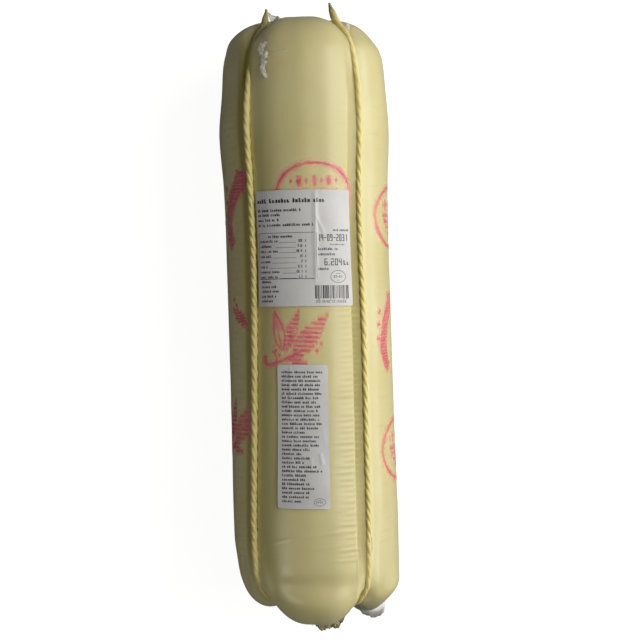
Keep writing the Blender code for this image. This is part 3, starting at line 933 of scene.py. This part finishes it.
# ---------------------------------------------------------------- the labels
class Label:
    """A paper label bent round the upper lobe, between two angles in degrees and two y."""

    FOLD = math.radians(33)
    GAP = 0.0005
    THICKNESS = 0.0003
    CELL = 0.75 * MM

    def __init__(self, left, right, low, high, slope, creases):
        self.left, self.right = math.radians(left), math.radians(right)
        self.low, self.high, self.slope, self.creases = low, high, slope, creases
        self.height = high - low
        self.angles = np.linspace(self.left, self.right, 200)
        middle = place(np.full(200, LOBE_RADIUS), np.full(200, (low + high) / 2), self.angles)
        self.arc = np.arctan2(middle[:, 0], middle[:, 2] - AXIS_HEIGHT) * LOBE_RADIUS
        self.arc = self.arc - self.arc[0]
        self.width = self.arc[-1]

    def at(self, u, v, lift=0.0):
        """A point of the paper's upper face: u from the left edge and v from the lower, in metres."""
        u, v = np.broadcast_arrays(np.asarray(u, float), np.asarray(v, float))
        angle = np.interp(u, self.arc, self.angles)
        y = self.low + v + self.slope * (angle - (self.left + self.right) / 2) * LOBE_RADIUS
        along = along_at(y)
        step = math.radians(1.5)
        inside = np.clip(angle, -self.FOLD, self.FOLD)
        edge, _ = section(along, inside)
        inner, _ = section(along, inside - np.copysign(step, angle))
        radius = edge + (edge - inner) / step * abs(angle - inside)
        wave = self.height_at(u, v)
        return place(radius + self.GAP + self.THICKNESS + wave + lift, y, angle)

    def height_at(self, u, v):
        """Creases and the slight lift of corners and edges, never below the flat paper."""
        height = 0.10 * MM * (1 + np.sin(u * 190 + 1.3) * np.sin(v * 120 + 0.4)) / 2
        for u0, v0, u1, v1, half, tall in self.creases:
            start, run = np.array([u0, v0]) * MM, np.array([u1 - u0, v1 - v0]) * MM
            length = np.linalg.norm(run)
            t = ((u - start[0]) * run[0] + (v - start[1]) * run[1]) / length**2
            off = ((u - start[0]) * run[1] - (v - start[1]) * run[0]) / length
            fall = np.exp(-np.abs(off / (half * MM)) ** 1.5)
            height = height + tall * MM * fall * np.clip(np.minimum(t, 1 - t) * 8 + 0.15, 0, 1)
        edge = np.minimum(np.minimum(u, self.width - u), np.minimum(v, self.height - v))
        return height + 0.25 * MM * np.exp(-edge / (2.2 * MM)) * (0.5 + 0.5 * np.sin(u * 90 + v * 70))

    def pen(self):
        return Pen(lambda u, v, lift: self.at(u, v, PAPER_PRINT_LIFT + lift))

    def make(self, name, node, look, corner):
        """The sheet with rounded corners, its thickness and its underside."""
        nu, nv = int(self.width / self.CELL), int(self.height / self.CELL)
        s, t = np.linspace(-1, 1, nu)[None, :], np.linspace(-1, 1, nv)[:, None]
        half_u, half_v = self.width / 2, self.height / 2
        x, y = s * half_u + 0 * t, t * half_v + 0 * s
        over_x, over_y = abs(x) - (half_u - corner), abs(y) - (half_v - corner)
        reach = np.hypot(np.maximum(over_x, 0), np.maximum(over_y, 0))
        both = (over_x > 0) & (over_y > 0) & (reach > 1e-9)
        square = np.maximum(np.maximum(over_x, over_y), 1e-9)
        shrink = np.where(both, square / np.maximum(reach, 1e-9), 1)
        x = np.where(both, np.sign(x) * (half_u - corner + np.maximum(over_x, 0) * shrink), x)
        y = np.where(both, np.sign(y) * (half_v - corner + np.maximum(over_y, 0) * shrink), y)
        u, v = x + half_u, y + half_v
        top, bottom = self.at(u, v), self.at(u, v, -self.THICKNESS)
        count = nu * nv
        faces = grid_faces(nv, nu)
        faces += [[a + count for a in face] for face in grid_faces(nv, nu, flip=True)]
        rim = list(range(nu)) + [j * nu + nu - 1 for j in range(1, nv)]
        rim += [count - 1 - i for i in range(1, nu)] + [j * nu for j in range(nv - 2, 0, -1)]
        for a, b in zip(rim, rim[1:] + rim[:1]):
            faces.append([b, a, a + count, b + count])
        points = np.concatenate([top.reshape(-1, 3), bottom.reshape(-1, 3)])
        made = new_mesh(name, points, faces, look)
        made.data.set_sharp_from_angle(angle=math.radians(50))
        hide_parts(node)
        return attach(made, "root")


def make_large_label(paper, ink):
    """A headed list in a box at the left; at the right a date, a weight, an oval and a row of bars."""
    creases = (
        (45.0, 84.2, 44.2, 17.0, 1.15, 0.75),
        (43.2, 84.2, 42.8, 40.0, 0.5, 0.25),
        (45.3, 65.1, 51.0, 52.6, 0.9, 0.40),
        (10.0, 84.0, 12.0, 60.0, 2.5, 0.15),
        (56.0, 34.0, 66.0, 24.0, 1.6, 0.18),
    )
    label = Label(-37.9, 33.6, 0.0104, 0.0948, -0.015, creases)
    label.make("label_large_paper", "label_large", paper, 1.0 * MM)
    rng, pen = np.random.default_rng(21), label.pen()

    def lines(u, tall, bold, *rows):
        for v, length in rows:
            pen.mock_line(rng, u, v, length, tall, bold)

    lines(1.0, 3.2, 0.95, (75.2, 50))
    lines(1.3, 2.1, 0.55, (68.9, 33), (65.6, 19), (61.9, 17), (58.2, 43))
    left, right, low, high = 0.9, 45.4, 19.8, 53.2
    pen.bar(left, high, right, high + 0.35)
    pen.bar(left, low, right, low + 0.45)
    pen.bar(left, low, left + 0.3, high)
    pen.bar(right - 0.35, low, right, high)
    lines(9.5, 1.9, 0.8, (49.9, 19.5))
    for index, value in enumerate(("100", "412", "30.4", "19", "2", "0.5", "26.1", "1.7")):
        v = 46.6 - index * 3.72
        name_length = rng.uniform(6, 18)
        lines(2.2, 1.9, 0.5, (v, name_length))
        pen.bar(3.2 + name_length, v - 0.3, 30.6, v - 0.05)
        pen.numerals(value, 35.4 - 1.2 * len(value), v, 2.0, 0.36, 0.85, 0.32)
        pen.bar(37.1, v, 37.6, v + 1.7)
    lines(2.6, 1.9, 0.6, (17.1, 9), (13.5, 13), (10.2, 16), (6.6, 13), (3.2, 10))
    lines(57.7, 1.6, 0.5, (54.2, 11.8))
    pen.numerals("14-09-2031", 46.2, 47.0, 5.0, 0.62, 1.75, 0.55)
    lines(55.0, 1.1, 0.5, (44.0, 11))
    lines(46.4, 2.0, 0.5, (40.4, 14), (36.6, 12))
    pen.numerals("6.204", 50.6, 29.3, 5.0, 0.66, 2.3, 0.70)
    lines(65.0, 3.4, 0.5, (29.6, 4.4))
    lines(46.2, 1.8, 0.5, (26.0, 8))
    pen.oval(60.6, 21.2, 5.6, 4.4, 0.175)
    pen.numerals("07-31", 57.2, 20.2, 1.9, 0.32, 0.95, 0.35)
    pen.bar(58.8, 23.2, 62.2, 23.5)
    pen.bar(59.2, 18.4, 61.8, 18.7)
    u = 43.6
    while u < 68.0:
        thick = rng.choice([0.35, 0.35, 0.7, 1.05])
        pen.bar(u, 5.4 if rng.uniform() < 0.85 else 4.6, u + thick, 15.0)
        u += thick + rng.choice([0.32, 0.45, 0.7])
    pen.numerals("2019407310586", 44.2, 2.2, 1.9, 0.28, 1.15, 0.58)
    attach(pen.ink.make("label_large_print", ink, "label", smooth=False), "root")


def make_small_label(paper, ink):
    """One column of lines, some of them bold, and an oval below."""
    creases = (
        (10.0, 104.0, 9.6, 62.0, 1.0, 0.45),
        (30.7, 40.6, 32.6, 31.0, 1.1, 0.40),
        (24.0, 36.5, 25.6, 27.0, 1.2, 0.30),
        (33.0, 60.0, 35.0, 44.0, 1.8, 0.15),
        (3.0, 26.0, 12.0, 20.0, 2.0, 0.15),
    )
    label = Label(-21.2, 14.1, -0.1364, -0.0320, -0.030, creases)
    label.make("label_small_paper", "label_small", paper, 1.8 * MM)
    rng, pen = np.random.default_rng(5), label.pen()
    lengths = (31, 28, 31, 30, 29, 31, 28, 27, 29, 28, 29, 29, 30, 29, 19, 29, 26, 30, 21, 15)
    lengths += (23, 17, 28, 30, 19, 17, 22, 25, 21, 20, 15)
    for index, length in enumerate(lengths):
        bold = 0.9 if index in (0, 1, 3, 4, 8, 21, 25, 26, 27, 28, 29) else 0.55
        pen.mock_line(rng, 3.2, 98.2 - index * 3.12, 0.96 * length, 1.9, bold)
    pen.oval(29.9, 4.9, 4.0, 2.7, 0.125)
    pen.numerals("07-31", 27.2, 4.1, 1.5, 0.22, 0.75, 0.255)
    pen.bar(28.7, 6.2, 31.1, 6.45)
    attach(pen.ink.make("label_small_print", ink, "label", smooth=False), "root")


# ---------------------------------------------------------------- the print on the film
def leaf(tip_u, tip_v, root_u, root_v, wide):
    """A leaf's outline from root to tip and back."""
    root, tip = np.array([root_u, root_v], float), np.array([tip_u, tip_v], float)
    run = tip - root
    side = unit(np.array([-run[1], run[0]]))
    t = np.linspace(0, 1, 28)[:, None]
    bulge = wide * np.sin(math.pi * t**0.8) * (1 - 0.25 * t)
    one, two = root + run * t + side * bulge, root + run * t - side * bulge
    return np.concatenate([one, two[::-1][1:-1]])


def curve_through(points, count):
    """A smooth curve near a few points."""
    knots = np.linspace(0, 1, len(points))
    fits = np.polyfit(knots, np.array(points, float), min(len(points) - 1, 4))
    return join(*(np.polyval(fit, np.linspace(0, 1, count)) for fit in fits.T))


def ribbon_mark(pen):
    """A broad hatched ribbon in a double bend, with dashes beside it."""
    middle = curve_through([(13, 29), (7, 15), (-2, 1), (-4, -15), (3, -28)], 60)
    run = unit(np.gradient(middle, axis=0))
    side = join(-run[:, 1], run[:, 0]) * np.linspace(5.4, 3.2, 60)[:, None]
    pen.hatch(np.concatenate([middle + side, (middle - side)[::-1]]), 2.4, 1.15)
    pen.stroke(middle + side, 0.8)
    pen.stroke(middle - side, 0.7)
    for u, v, du, dv in ((-9.5, 13, 3.0, 3.4), (-12, 5, 4.2, 0.6), (-13, -4, 3.0, -2.2)):
        t = np.linspace(0, 1, 6)
        pen.stroke(join(u + du * t, v + dv * t), 0.95)


def berry_mark(pen):
    """Three dots and a short leaf."""
    for u, v, size in ((-6, 9, 1.8), (-2.5, 4.5, 1.5), (-7, 1.5, 1.6)):
        pen.dot(u, v, size)
    pen.hatch(leaf(9, -14, -6, 2, 4.6), 2.2, 1.0)


def oval_mark(pen):
    """A plain oval ring with a row of lozenges, dots and bars in it."""
    turn = np.linspace(0, 2 * math.pi, 110)
    wobble = 0.95 + 0.12 * np.sin(3 * turn + 1)
    pen.stroke(join(30.0 * np.cos(turn), 22.5 * np.sin(turn)), 1.25 * wobble)
    for u in (-11.5, 0.0, 11.5):
        t = np.linspace(-1, 1, 9)
        pen.stroke(join(u, 9.5 + 4.2 * t), np.maximum(2.9 * (1 - abs(t)), 0.15))
    for u in (-17.5, -5.8, 5.8, 17.5):
        pen.dot(u, 9.5, 1.1)
    for v, half in ((1.4, 19), (-3.0, 17), (-7.2, 13), (-11.6, 8)):
        u = np.linspace(-half, half, 26)
        pen.stroke(join(u, v + 0.25 * np.sin(u)), 0.95)


def sprig_mark(pen):
    """Two hatched leaves and an open one on a curled stem, with berries."""
    pen.hatch(leaf(24, 21, -2, -13, 8.5), 3.3, 1.15)
    pen.hatch(leaf(2, 24, -9, -9, 5.8), 3.1, 1.10)
    outline = leaf(-20, 20, -11, -8, 5.2)
    pen.stroke(np.concatenate([outline, outline[:1]]), 0.75)
    pen.stroke(curve_through([(-12, -6), (-15, 4), (-18.4, 14)], 20), 0.5)
    stem = curve_through([(4, -8), (-6, -13.5), (-15, -17), (-24, -19), (-27, -13)], 50)
    pen.stroke(stem, np.linspace(1.7, 0.9, 50))
    curl = 2.8 + np.linspace(0, 1.55 * math.pi, 40)
    pen.stroke(join(-21.5 + 5.6 * np.cos(curl), -14.5 + 5.2 * np.sin(curl)), 0.85)
    pen.hatch(leaf(13, -18.5, -7, -13.5, 2.6), 2.4, 0.95)
    for u, v in ((-17, -8.5), (-13.5, -11.5), (-19.5, -5.0), (16, -7), (19, -2)):
        pen.dot(u, v, 1.3)


def make_print(look, halo_look):
    """The pink print, repeated along each lobe: (degrees from the lobe's crest, y, tilt, motif)."""
    repeats = {
        0: ((7.5, 0.0916, 0, oval_mark), (-7, -0.0140, -4, sprig_mark)),
        90: ((-4, 0.0765, 4, oval_mark), (-22, -0.0095, 3, ribbon_mark), (-3, -0.0985, 2, oval_mark)),
        180: ((1, 0.1230, 2, sprig_mark), (2, 0.0330, -2, oval_mark), (0, -0.0580, 3, ribbon_mark)),
        -90: ((25, 0.0850, -4, ribbon_mark), (31, 0.0085, 4, berry_mark), (25, -0.0790, 0, sprig_mark)),
    }
    for lobe, marks in repeats.items():
        pen = Pen(bleed=BLEED)
        for shift, y, tilt, draw in marks:
            middle, tilt = math.radians(lobe + shift), math.radians(tilt)

            def where(u, v, lift, middle=middle, y=y, c=math.cos(tilt), s=math.sin(tilt)):
                turn = middle + (u * c - v * s) / LOBE_RADIUS
                return skin(along_at(y + u * s + v * c), turn, FILM_PRINT_LIFT + lift)

            pen.where = where
            draw(pen)
        for made in (
            pen.ink.make(f"film_print_{lobe % 360}", look, "film"),
            pen.halo.make(f"film_print_bleed_{lobe % 360}", halo_look, "film"),
        ):
            made.visible_shadow = False
            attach(made, "root")


# ---------------------------------------------------------------- free folds of film
def skin_tree(cheese):
    """The cheese's surface, ready to find the nearest point on it."""
    return BVHTree.FromObject(cheese, bpy.context.evaluated_depsgraph_get())


def drape(tree, points, lift):
    """Lifts the points that lie in the cheese, or closer to its skin than lift."""
    flat = np.array(points, float).reshape(-1, 3)
    for k, point in enumerate(flat):
        near, normal, _, _ = tree.find_nearest(Vector(point), 0.03)
        if near is not None and (Vector(point) - near).dot(normal) < lift:
            flat[k] = near + normal * lift
    return flat.reshape(np.shape(points))


def sharp_folds(rng, t, s, count, speeds):
    """A sum of slanted sharp folds over a strip, t along it and s across; speeds are along t."""
    height = np.zeros(np.broadcast(t, s).shape)
    for _ in range(count):
        a, b, p, w = rng.uniform(*speeds), rng.uniform(-5, 5), rng.uniform(0, 6.3), rng.uniform(0.3, 1)
        height += w * (1 - 2 * abs(((a * t + b * s + p) / math.pi) % 2 - 1))
    return height


def ragged(rng, t, share, count):
    """1, give or take up to share of it, changing along t."""
    return 1 + share * np.interp(t, np.linspace(0, 1, count), rng.uniform(-1, 1, count))


def skin_ribbon(tree, spots, half, crumple, seed, rows, columns, lift, tilt=0.0):
    """A crumpled strip along spots (along, angle in degrees, lift in mm) of the film's surface."""
    rng = np.random.default_rng(seed)
    spots = np.array(spots, float)
    knots, t = np.linspace(0, 1, len(spots)), np.linspace(0, 1, rows)
    spots = join(*(np.interp(t, knots, column) for column in spots.T))
    along, angle, high = smooth_path(spots, 12).T
    line = skin(along, np.radians(angle))
    out = plain_normal(along, np.radians(angle))
    across = unit(np.cross(unit(np.gradient(line, axis=0)), out))
    edge = ragged(rng, t, 0.22, 18)
    wide = (np.interp(t, np.linspace(0, 1, len(half)), half) * MM * edge)[:, None]
    s = np.linspace(-1, 1, columns)[None, :]
    height = (sharp_folds(rng, t[:, None], s, 8, (3, 13)) / 4.0 + 1) / 2
    height = crumple * height * (1 - 0.75 * s**2) + high[:, None] + lift * (1 - 0.8 * s**2)
    height = height * MM + tilt * (s + 1) * wide
    body = line[:, None] + across[:, None] * (s * wide)[..., None] + out[:, None] * height[..., None]
    return drape(tree, body, 0.14 * MM), grid_faces(rows, columns)


def make_seam(tree, strip_look, loop_look, ear_look):
    """The sleeve's seam over the upper left shoulder: a soft strip, its crumpled loop and bits."""

    def ribbons(name, look, *shapes):
        pile = Pile()
        for shape in shapes:
            pile.add(*skin_ribbon(tree, *shape))
        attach(pile.make(name, look, "film"), "root")

    strip = ((0.9330, -46, 0.4), (0.9200, -41, 0.9), (0.9000, -34, 0.7), (0.8820, -29, 0.3))
    strip += ((0.8640, -25.5, 0.1),)
    haze = ((0.8700, -27, 0.0), (0.8540, -28.0, 0.1), (0.8380, -28.5, 0.1), (0.8200, -26.5, 0.0))
    ribbons(
        "film_seam_strip",
        strip_look,
        (strip, (2.6, 2.8, 2.8, 2.6, 2.2), 0.15, 1, 90, 18, 0.2),
        (haze, (2.2, 4.2, 3.9, 1.6), 0.3, 6, 80, 20, 0.2),
    )
    make_ear(ear_look)
    ridge = ((0.8560, -25.0, 0.0), (0.8545, -20, 0.1), (0.8550, -15, 0.0), (0.8575, -10, -0.1))
    loop = ((0.8700, -26.5, 0.1), (0.8660, -28.8, 0.5), (0.8610, -30.6, 0.8), (0.8540, -28.6, 0.9))
    loop += ((0.8460, -25.6, 0.2),)
    inner = ((0.8560, -25.0, 0.2), (0.8510, -26.2, 0.7), (0.8460, -28.4, 0.5), (0.8390, -29.4, 0.1))
    bit = ((0.8440, -26.2, 0.1), (0.8350, -28.2, 0.7), (0.8280, -27.6, 0.6), (0.8200, -25.6, 0.1))
    ribbons(
        "film_seam_crumple",
        loop_look,
        (ridge, (0.8, 0.6, 0.5, 0.2), 0.2, 5, 50, 5, 0.30),
        (loop, (1.0, 1.7, 2.0, 1.9, 1.0), 1.2, 2, 70, 18, 0.4, 0.62),
        (inner, (0.9, 1.5, 1.4, 0.8), 0.9, 3, 50, 16, 0.4, 0.55),
        (bit, (0.8, 1.6, 1.7, 0.8), 1.0, 4, 50, 16, 0.4, 0.62),
    )


def make_ear(look):
    """The web of film between the left cord's tip and the cheese's top edge."""
    rows, columns = 50, 70
    t, across = np.linspace(0, 1, rows)[:, None], np.linspace(0, 1, columns)[None, :]
    low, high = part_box("film_seam_top")
    foot = skin(0.9420 + 0.036 * across, np.radians(-49 + 16 * across), -0.2 * MM)
    tip = np.array([low.x * 0.76, high.y + 0.0004, low.z + 0.0010])
    far = np.array([high.x - 0.0015, high.y - 0.0042, low.z - 0.0010])
    edge = tip + (far - tip) * across[..., None]
    edge[..., 1] += 0.45 * MM * np.sin(7 * across) * (1 - across)
    folds = 0.5 * MM * np.sin(15 * across + 3 * t) * t + 0.25 * MM * np.sin(31 * across - 4 * t)
    body = foot * (1 - t[..., None]) + edge * t[..., None]
    body = body + np.array([0.3, 0.2, 0.9]) * (folds + 0.9 * MM * np.sin(math.pi * t))[..., None]
    pile = Pile()
    pile.add(body, grid_faces(rows, columns, flip=True))
    made = pile.make("film_seam_top_sheet", look, "film")
    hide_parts("film_seam_top")
    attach(made, "root")


def make_corner(look):
    """The small free corner of film beside the right cord's tail."""
    rows, columns = 24, 12
    rng = np.random.default_rng(11)
    low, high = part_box("film_corner_top")
    start = np.array([(low.x + high.x) / 2, low.y, low.z])
    t, s, knots = np.linspace(0, 1, rows), np.linspace(-1, 1, columns)[None, :], (0, 0.5, 1)
    away = join(*(np.interp(t, knots, way) for way in ((0, 0.5, 0.5), (0, 3.0, 7.0), (0, 1.0, 1.2))))
    middle = smooth_path(start + away * MM, 10)
    out = unit(np.array([0.75, 0.0, 0.66]))
    across = unit(np.cross(unit(np.gradient(middle, axis=0)), out))
    wide = np.interp(t, knots, (2.2, 2.0, 0.8)) * ragged(rng, t, 0.25, 16)
    offset = s * wide[:, None] + 0.1 * np.sin(t * 9)[:, None]
    height = 0.9 * (sharp_folds(rng, t[:, None], s, 9, (2, 16)) / 4.5 + 1) / 2
    pile = Pile()
    body = middle[:, None] + (across[:, None] * offset[..., None] + out * height[..., None]) * MM
    pile.add(body, grid_faces(rows, columns))
    made = pile.make("film_corner_top_sheet", look, "film")
    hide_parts("film_corner_top")
    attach(made, "root")


def make_tail(tree, look):
    """The milky pouch of film that carries on from the right lobe's end: its upper side and its back."""
    low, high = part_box("film_tail_bottom")
    rows, columns = 70, 100
    t, s = np.linspace(0, 1, rows)[:, None], np.linspace(0, 1, columns)[None, :]
    share = t[..., None]
    root = skin(0.0960 + 0.016 * s, np.radians(40 + 32 * s), 0.25 * MM)
    reach = np.interp(s[0], (0, 0.24, 0.54, 0.86, 1), (3.2, 8.6, 11.8, 10.8, 7.0))
    reach = smooth_path(reach, 30) - 0.35 * np.sin(17 * s) - 0.2 * np.sin(41 * s + 1)
    x = low.x - 0.0030 + (high.x - low.x + 0.0022) * s
    edge = join(x, high.y - reach * MM, high.z + 0.004 + 0.004 * s)
    wander = 0.9 * np.sin(4.5 * t + 3 * s)
    folds = 0.32 * np.sin(6 * s + 2.5 * wander) + 0.12 * np.sin(13 * s - 5 * t - 2 * wander)
    bulge = np.sin(math.pi * t**0.8) * (0.30 + 0.70 * np.sin(math.pi * s) ** 0.6) * (3.0 + folds)
    upper = root * (1 - share) + edge * share + np.array([0.15, -0.45, 0.85]) * MM * bulge[..., None]
    bulge = np.sin(math.pi * t) * (1.0 + folds * (1 - t))
    back = edge + np.array([0.0, 0.0035, -0.0085]) * share
    back = back + np.array([0.0, -0.8, -0.3]) * MM * bulge[..., None]
    pile = Pile()
    pile.add(drape(tree, upper, 0.25 * MM), grid_faces(rows, columns), join(t, s))
    pile.add(drape(tree, back, 0.12 * MM), grid_faces(rows, columns), join(1 - t, s))
    made = pile.make("film_tail_bottom_sheet", look, "film")
    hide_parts("film_tail_bottom")
    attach(made, "root")


def lump(pile, middle, half, seed, rough):
    """A crumpled lump of gathered film with sharp folds."""
    rows, columns = 56, 72
    rng = np.random.default_rng(seed)
    rise = np.linspace(0, math.pi, rows)[:, None]
    turn = np.linspace(0, 2 * math.pi, columns, endpoint=False)[None, :]
    ball = join(np.cos(rise), np.sin(rise) * np.cos(turn), np.sin(rise) * np.sin(turn))
    folds = np.zeros((rows, columns))
    for size in (2.0, 3.2, 5.0, 8.0):
        for _ in range(3):
            way, phase = rng.normal(size=3), rng.uniform(0, 6.3)
            way = unit(way) * np.array([1.0, 0.5, 1.0]) * size
            folds += (1 - 2 * abs(np.sin(ball @ way + phase))) / size**0.75
    body = ball * (1 + rough * folds)[..., None] * np.array(half) + np.array(middle)
    pile.add(body, grid_faces(rows, columns, True))


def make_knot(look):
    """The gathered and tied tail of film at the bottom pole: ragged lumps with a slit between."""
    low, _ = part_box("bottom_knot")
    pile = Pile()
    # in mm, x, y from the node's low end and z from the axis; half sizes; then seed and roughness
    for x, y, z, half, seed, rough in (
        (2.4, 9.0, 0.0, (4.4, 8.4, 5.5), 11, 0.07),
        (6.4, 10.8, 1.0, (5.8, 9.0, 5.4), 6, 0.08),
        (-0.8, 10.5, 1.0, (3.0, 7.2, 4.2), 2, 0.13),
        (8.2, 9.8, 0.4, (3.0, 8.0, 5.0), 3, 0.13),
        (12.2, 10.8, 0.0, (5.0, 8.8, 5.0), 4, 0.10),
        (17.2, 14.0, 0.6, (3.6, 7.4, 4.0), 5, 0.11),
        (0.6, 28.5, 0.0, (7.8, 9.8, 7.8), 7, 0.07),
        (4.0, 20.0, 0.6, (6.6, 10.5, 6.4), 8, 0.08),
    ):
        middle = (x * MM, low.y + y * MM, AXIS_HEIGHT + z * MM)
        lump(pile, middle, np.array(half) * MM, seed, rough)
    hair = np.array([[-0.0045, -0.2225, 0.0690], [-0.0048, -0.2275, 0.0700], [-0.0054, -0.2325, 0.0706]])
    tube(pile, hair, 0.16 * MM, 5)
    made = pile.make("bottom_knot_film", look, "film")
    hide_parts("bottom_knot")
    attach(made, "root")


# ---------------------------------------------------------------- the stage
def make_floor():
    """A pale matt floor, which looks bright to the camera and reflects little onto the cheese."""
    size, sunk = 3.0, 0.0004
    corners = ((-size, -size, -sunk), (size, -size, -sunk), (size, size, -sunk), (-size, size, -sunk))
    look = Look("pale_floor")
    look.set(Base_Color=(0.30, 0.30, 0.30, 1), Roughness=0.9, Specular_IOR_Level=0.1)
    seen = look.node("LightPath").outputs["Is Camera Ray"]
    look.set(Emission_Color=(1, 1, 0.995, 1), Emission_Strength=look.times(seen, 0.93))
    floor = new_mesh("floor", corners, [(0, 1, 2, 3)], look.material, smooth=False)


def softbox(name, tilt, y, width, length, radiance):
    """A soft panel, tilt degrees from straight up towards +X as seen from the log's axis."""
    distance = 1.4
    data = bpy.data.lights.new(name, "AREA")
    data.shape = "RECTANGLE"
    data.size, data.size_y = width, length
    data.energy = math.pi * width * length * radiance
    light = bpy.data.objects.new(name, data)
    bpy.context.scene.collection.objects.link(light)
    tilt = math.radians(tilt)
    out, along = Vector((math.sin(tilt), 0, math.cos(tilt))), Vector((0, 1, 0))
    light.location = Vector((0, y, AXIS_HEIGHT)) + distance * out
    light.rotation_euler = Matrix((along.cross(out), along, out)).transposed().to_euler()


def make_lights():
    """Soft panels, mostly from the right, in a room that is pale to the camera and dim otherwise."""
    softbox("above", 22, 0.375, 0.49, 1.50, 0.7)
    softbox("upper_right", 40, 0.375, 0.49, 1.50, 3.3)
    softbox("right", 60, 0.375, 0.49, 1.50, 2.7)
    softbox("low_right", 86, 0.0, 0.24, 2.25, 5.6)
    softbox("lower_left", -45, -0.75, 0.49, 0.75, 3.0)
    world = bpy.data.worlds.new("studio")
    bpy.context.scene.world = world
    world.use_nodes = True
    tree = world.node_tree
    back = tree.nodes["Background"]
    back.inputs["Color"].default_value = (1.0, 0.995, 0.985, 1)
    seen = tree.nodes.new("ShaderNodeLightPath").outputs["Is Camera Ray"]
    level = tree.nodes.new("ShaderNodeMapRange")
    level.inputs["To Min"].default_value = 0.03
    level.inputs["To Max"].default_value = 0.97
    tree.links.new(seen, level.inputs["Value"])
    tree.links.new(level.outputs[0], back.inputs["Strength"])


def make_camera():
    """Straight over the cheese, a little turned, as a photograph of it standing would see it."""
    distance, seen_width, sensor, aside, roll = 1.149, 0.4902, 36, 0.0077, -1.76
    data = bpy.data.cameras.new("camera")
    data.sensor_width = sensor
    data.lens = sensor * distance / seen_width
    camera = bpy.data.objects.new("camera", data)
    bpy.context.scene.collection.objects.link(camera)
    camera.location = (aside, 0, AXIS_HEIGHT + distance)
    camera.rotation_euler = (0, 0, math.radians(roll))
    bpy.context.scene.camera = camera
    bpy.context.scene.view_settings.view_transform = "Standard"


def main():
    make_camera()
    make_lights()
    make_floor()
    tree = skin_tree(make_cheese())
    straw = cord_look("twine", (1.0, 0.86, 0.36), (0.70, 0.54, 0.14), 0.80)
    covered = cord_look("twine_under_film", (1.0, 0.87, 0.36), (0.97, 0.79, 0.29), 0.28, 0.180)
    # node, degrees, tip (radius, y), length of lay, look, wrapped length, sinks and proud in mm
    for seed, cord in enumerate(
        (
            ("cord_front_right", 45, (0.0322, 0.2373), 0.0255, straw, 0.0, (0.7, 0.5), 0.0),
            ("cord_front_left", -45, (0.0380, 0.2330), 0.0235, covered, 0.05, (3.4, 2.5), 0.45),
            ("cord_back_right", 135, (0.0330, 0.2285), 0.0250, straw, 0.0, (0.0, 0.0), 0.0),
            ("cord_back_left", -135, (0.0250, 0.2370), 0.0235, straw, 0.0, (0.0, 0.0), 0.0),
        ),
        1,
    ):
        make_cord(*cord, seed)
    paper = paper_look()
    ink = ink_look("label_ink", (0.030, 0.030, 0.034), (0.10, 0.10, 0.105), 900, 0)
    make_large_label(paper, ink)
    make_small_label(paper, ink)
    make_print(ink_look("film_ink", (0.70, 0.090, 0.155), (0.78, 0.28, 0.27), 260, 0.75), bleed_look())
    strip = film_look("seam_film", (0.72, 0.66, 0.66), 0.18, 0.42, 160, 0.2, 0.5)
    loose = film_look("crumpled_film", (0.84, 0.80, 0.68), 0.20, 0.80, 300, 0.4, 0.4)
    make_seam(tree, strip, loose, film_look("ear_film", (0.50, 0.45, 0.32), 0.55, 0.80, 160, 0.2, 0.5))
    make_corner(film_look("corner_film", (0.72, 0.66, 0.60), 0.35, 0.70, 160, 0.2, 0.5))
    make_tail(tree, film_look("milky_film", (0.39, 0.365, 0.265), 0.66, 0.84, 90, 0.06, 0.5, True))
    make_knot(knot_look())


main()
